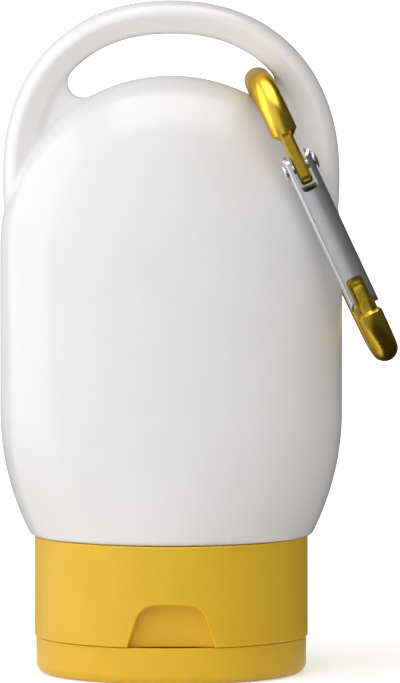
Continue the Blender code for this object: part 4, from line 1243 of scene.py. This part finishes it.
def card_material():
    """Light grey at the left and dark at the right, and dimmer close under the bottle and behind it."""
    card = Finish("card")
    tree = card.tree
    flat = {1: (1.0, 1.0, 0.0)}
    level = add_node(tree, "VectorMath", flat, {0: card.space}, operation="MULTIPLY").outputs[0]
    towards = add_node(tree, "VectorMath", None, {0: level}, operation="NORMALIZE").outputs[0]
    split = add_node(tree, "SeparateXYZ", None, {0: towards})
    ramp = add_node(tree, "ValToRGB", None, {"Fac": card.between(split.outputs["X"], 0.0, 1.0, -1.0)})
    ramp.color_ramp.interpolation = "EASE"
    for element, (place, grey) in zip(ramp.color_ramp.elements, (CARD_GREYS[0], CARD_GREYS[-1])):
        element.position = place
        element.color = (grey, grey, grey, 1.0)
    for place, grey in CARD_GREYS[1:-1]:
        ramp.color_ramp.elements.new(place).color = (grey, grey, grey, 1.0)
    reach = add_node(tree, "VectorMath", None, {0: level}, operation="LENGTH").outputs["Value"]
    near = card.between(reach, CARD_NEAR_STRENGTH, 1.0, CARD_NEAR, CARD_FAR)
    behind = card.between(split.outputs["Y"], 1.0, CARD_BEHIND_STRENGTH, CARD_BEHIND_START, CARD_BEHIND_END)
    light = {"Color": ramp.outputs["Color"], "Strength": card.product(near, behind)}
    return shown_as(card, add_node(tree, "Emission", None, light))


def grey_card(edges):
    """A curved card between two edges, each a radius and a height, which only reflections see."""
    span = CARD_END - CARD_START
    turns = [math.radians(CARD_START + span * share) for share in shares(CARD_STEPS)]
    bm = bmesh.new()
    rows = []
    for radius, height in edges:
        row = [(radius * math.sin(turn), -radius * math.cos(turn), height) for turn in turns]
        rows.append([bm.verts.new(point) for point in row])
    low, high = rows
    for index in range(CARD_STEPS):
        bm.faces.new((low[index], low[index + 1], high[index + 1], high[index]))
    card = shape("card", mesh_from(bm))
    card.data.materials.append(card_material())
    card.visible_camera = False
    card.visible_diffuse = False
    card.visible_shadow = False


KEY_TURN = math.radians(-40)
KEY_RISE = math.radians(36)
KEY_DISTANCE = 0.62
KEY_SIZE = 1.1
KEY_POWER = 4.45
KEY_COLOUR = (0.985, 0.998, 1.020)
BOX_TURN = math.radians(-90)
BOX_RISE = math.radians(6)
BOX_DISTANCE = 0.55
BOX_WIDTH = 0.66
BOX_HEIGHT = 1.1
BOX_POWER = 2.7
TOP_RISE = math.radians(88)
TOP_DISTANCE = 0.85
TOP_SIZE = 0.75
TOP_POWER = 4.0
LIGHTS_AIM = Vector((0.0, 0.0, 50 * MM))


def soft_light(name, turn, rise, distance, width, height, power):
    """An area light that looks at the bottle's middle from an azimuth left or right of the camera."""
    lamp = bpy.data.lights.new(name, "AREA")
    lamp.shape = "RECTANGLE"
    lamp.size = width
    lamp.size_y = height
    lamp.energy = power
    obj = shape(name, lamp)
    level = math.cos(rise)
    outwards = Vector((math.sin(turn) * level, -math.cos(turn) * level, math.sin(rise)))
    obj.location = LIGHTS_AIM + outwards * distance
    obj.rotation_euler = outwards.to_track_quat("Z", "Y").to_euler()
    obj.visible_camera = False
    return obj


white_world()
floor_disc()
grey_card(((CARD_RADIUS, CARD_LIFT), (CARD_RADIUS, CARD_HEIGHT)))
grey_card(((CARD_FOOT, CARD_LIFT), (CARD_RADIUS, CARD_LIFT)))
key = soft_light("broad_light", KEY_TURN, KEY_RISE, KEY_DISTANCE, KEY_SIZE, KEY_SIZE, KEY_POWER)
key.data.color = KEY_COLOUR
key.visible_glossy = False
box = soft_light("left_box", BOX_TURN, BOX_RISE, BOX_DISTANCE, BOX_WIDTH, BOX_HEIGHT, BOX_POWER)
box.visible_diffuse = False
top = soft_light("top_box", 0.0, TOP_RISE, TOP_DISTANCE, TOP_SIZE, TOP_SIZE, TOP_POWER)
top.visible_diffuse = False

# Camera
# A long lens a little above the bottle's middle, as the photograph was taken.

PIXEL = 0.1485 * MM
FRAME_WIDTH = 400
FRAME_HEIGHT = 683
AXIS_COLUMN = 171.2
GROUND_ROW = 671.7
CAMERA_RISE = math.radians(5.0)
CAMERA_DISTANCE = 2.5

camera = shape("camera", bpy.data.cameras.new("camera"))
bpy.context.scene.camera = camera
aim_x = (FRAME_WIDTH / 2 - AXIS_COLUMN) * PIXEL
aim_z = (GROUND_ROW - FRAME_HEIGHT / 2) * PIXEL / math.cos(CAMERA_RISE)
aim = Vector((aim_x, 0.0, aim_z))
camera.location = aim + CAMERA_DISTANCE * Vector((0.0, -math.cos(CAMERA_RISE), math.sin(CAMERA_RISE)))
camera.rotation_euler = (math.pi / 2 - CAMERA_RISE, 0.0, 0.0)
camera.data.lens = camera.data.sensor_width * CAMERA_DISTANCE / (FRAME_HEIGHT * PIXEL)
bpy.context.scene.view_settings.view_transform = "Standard"
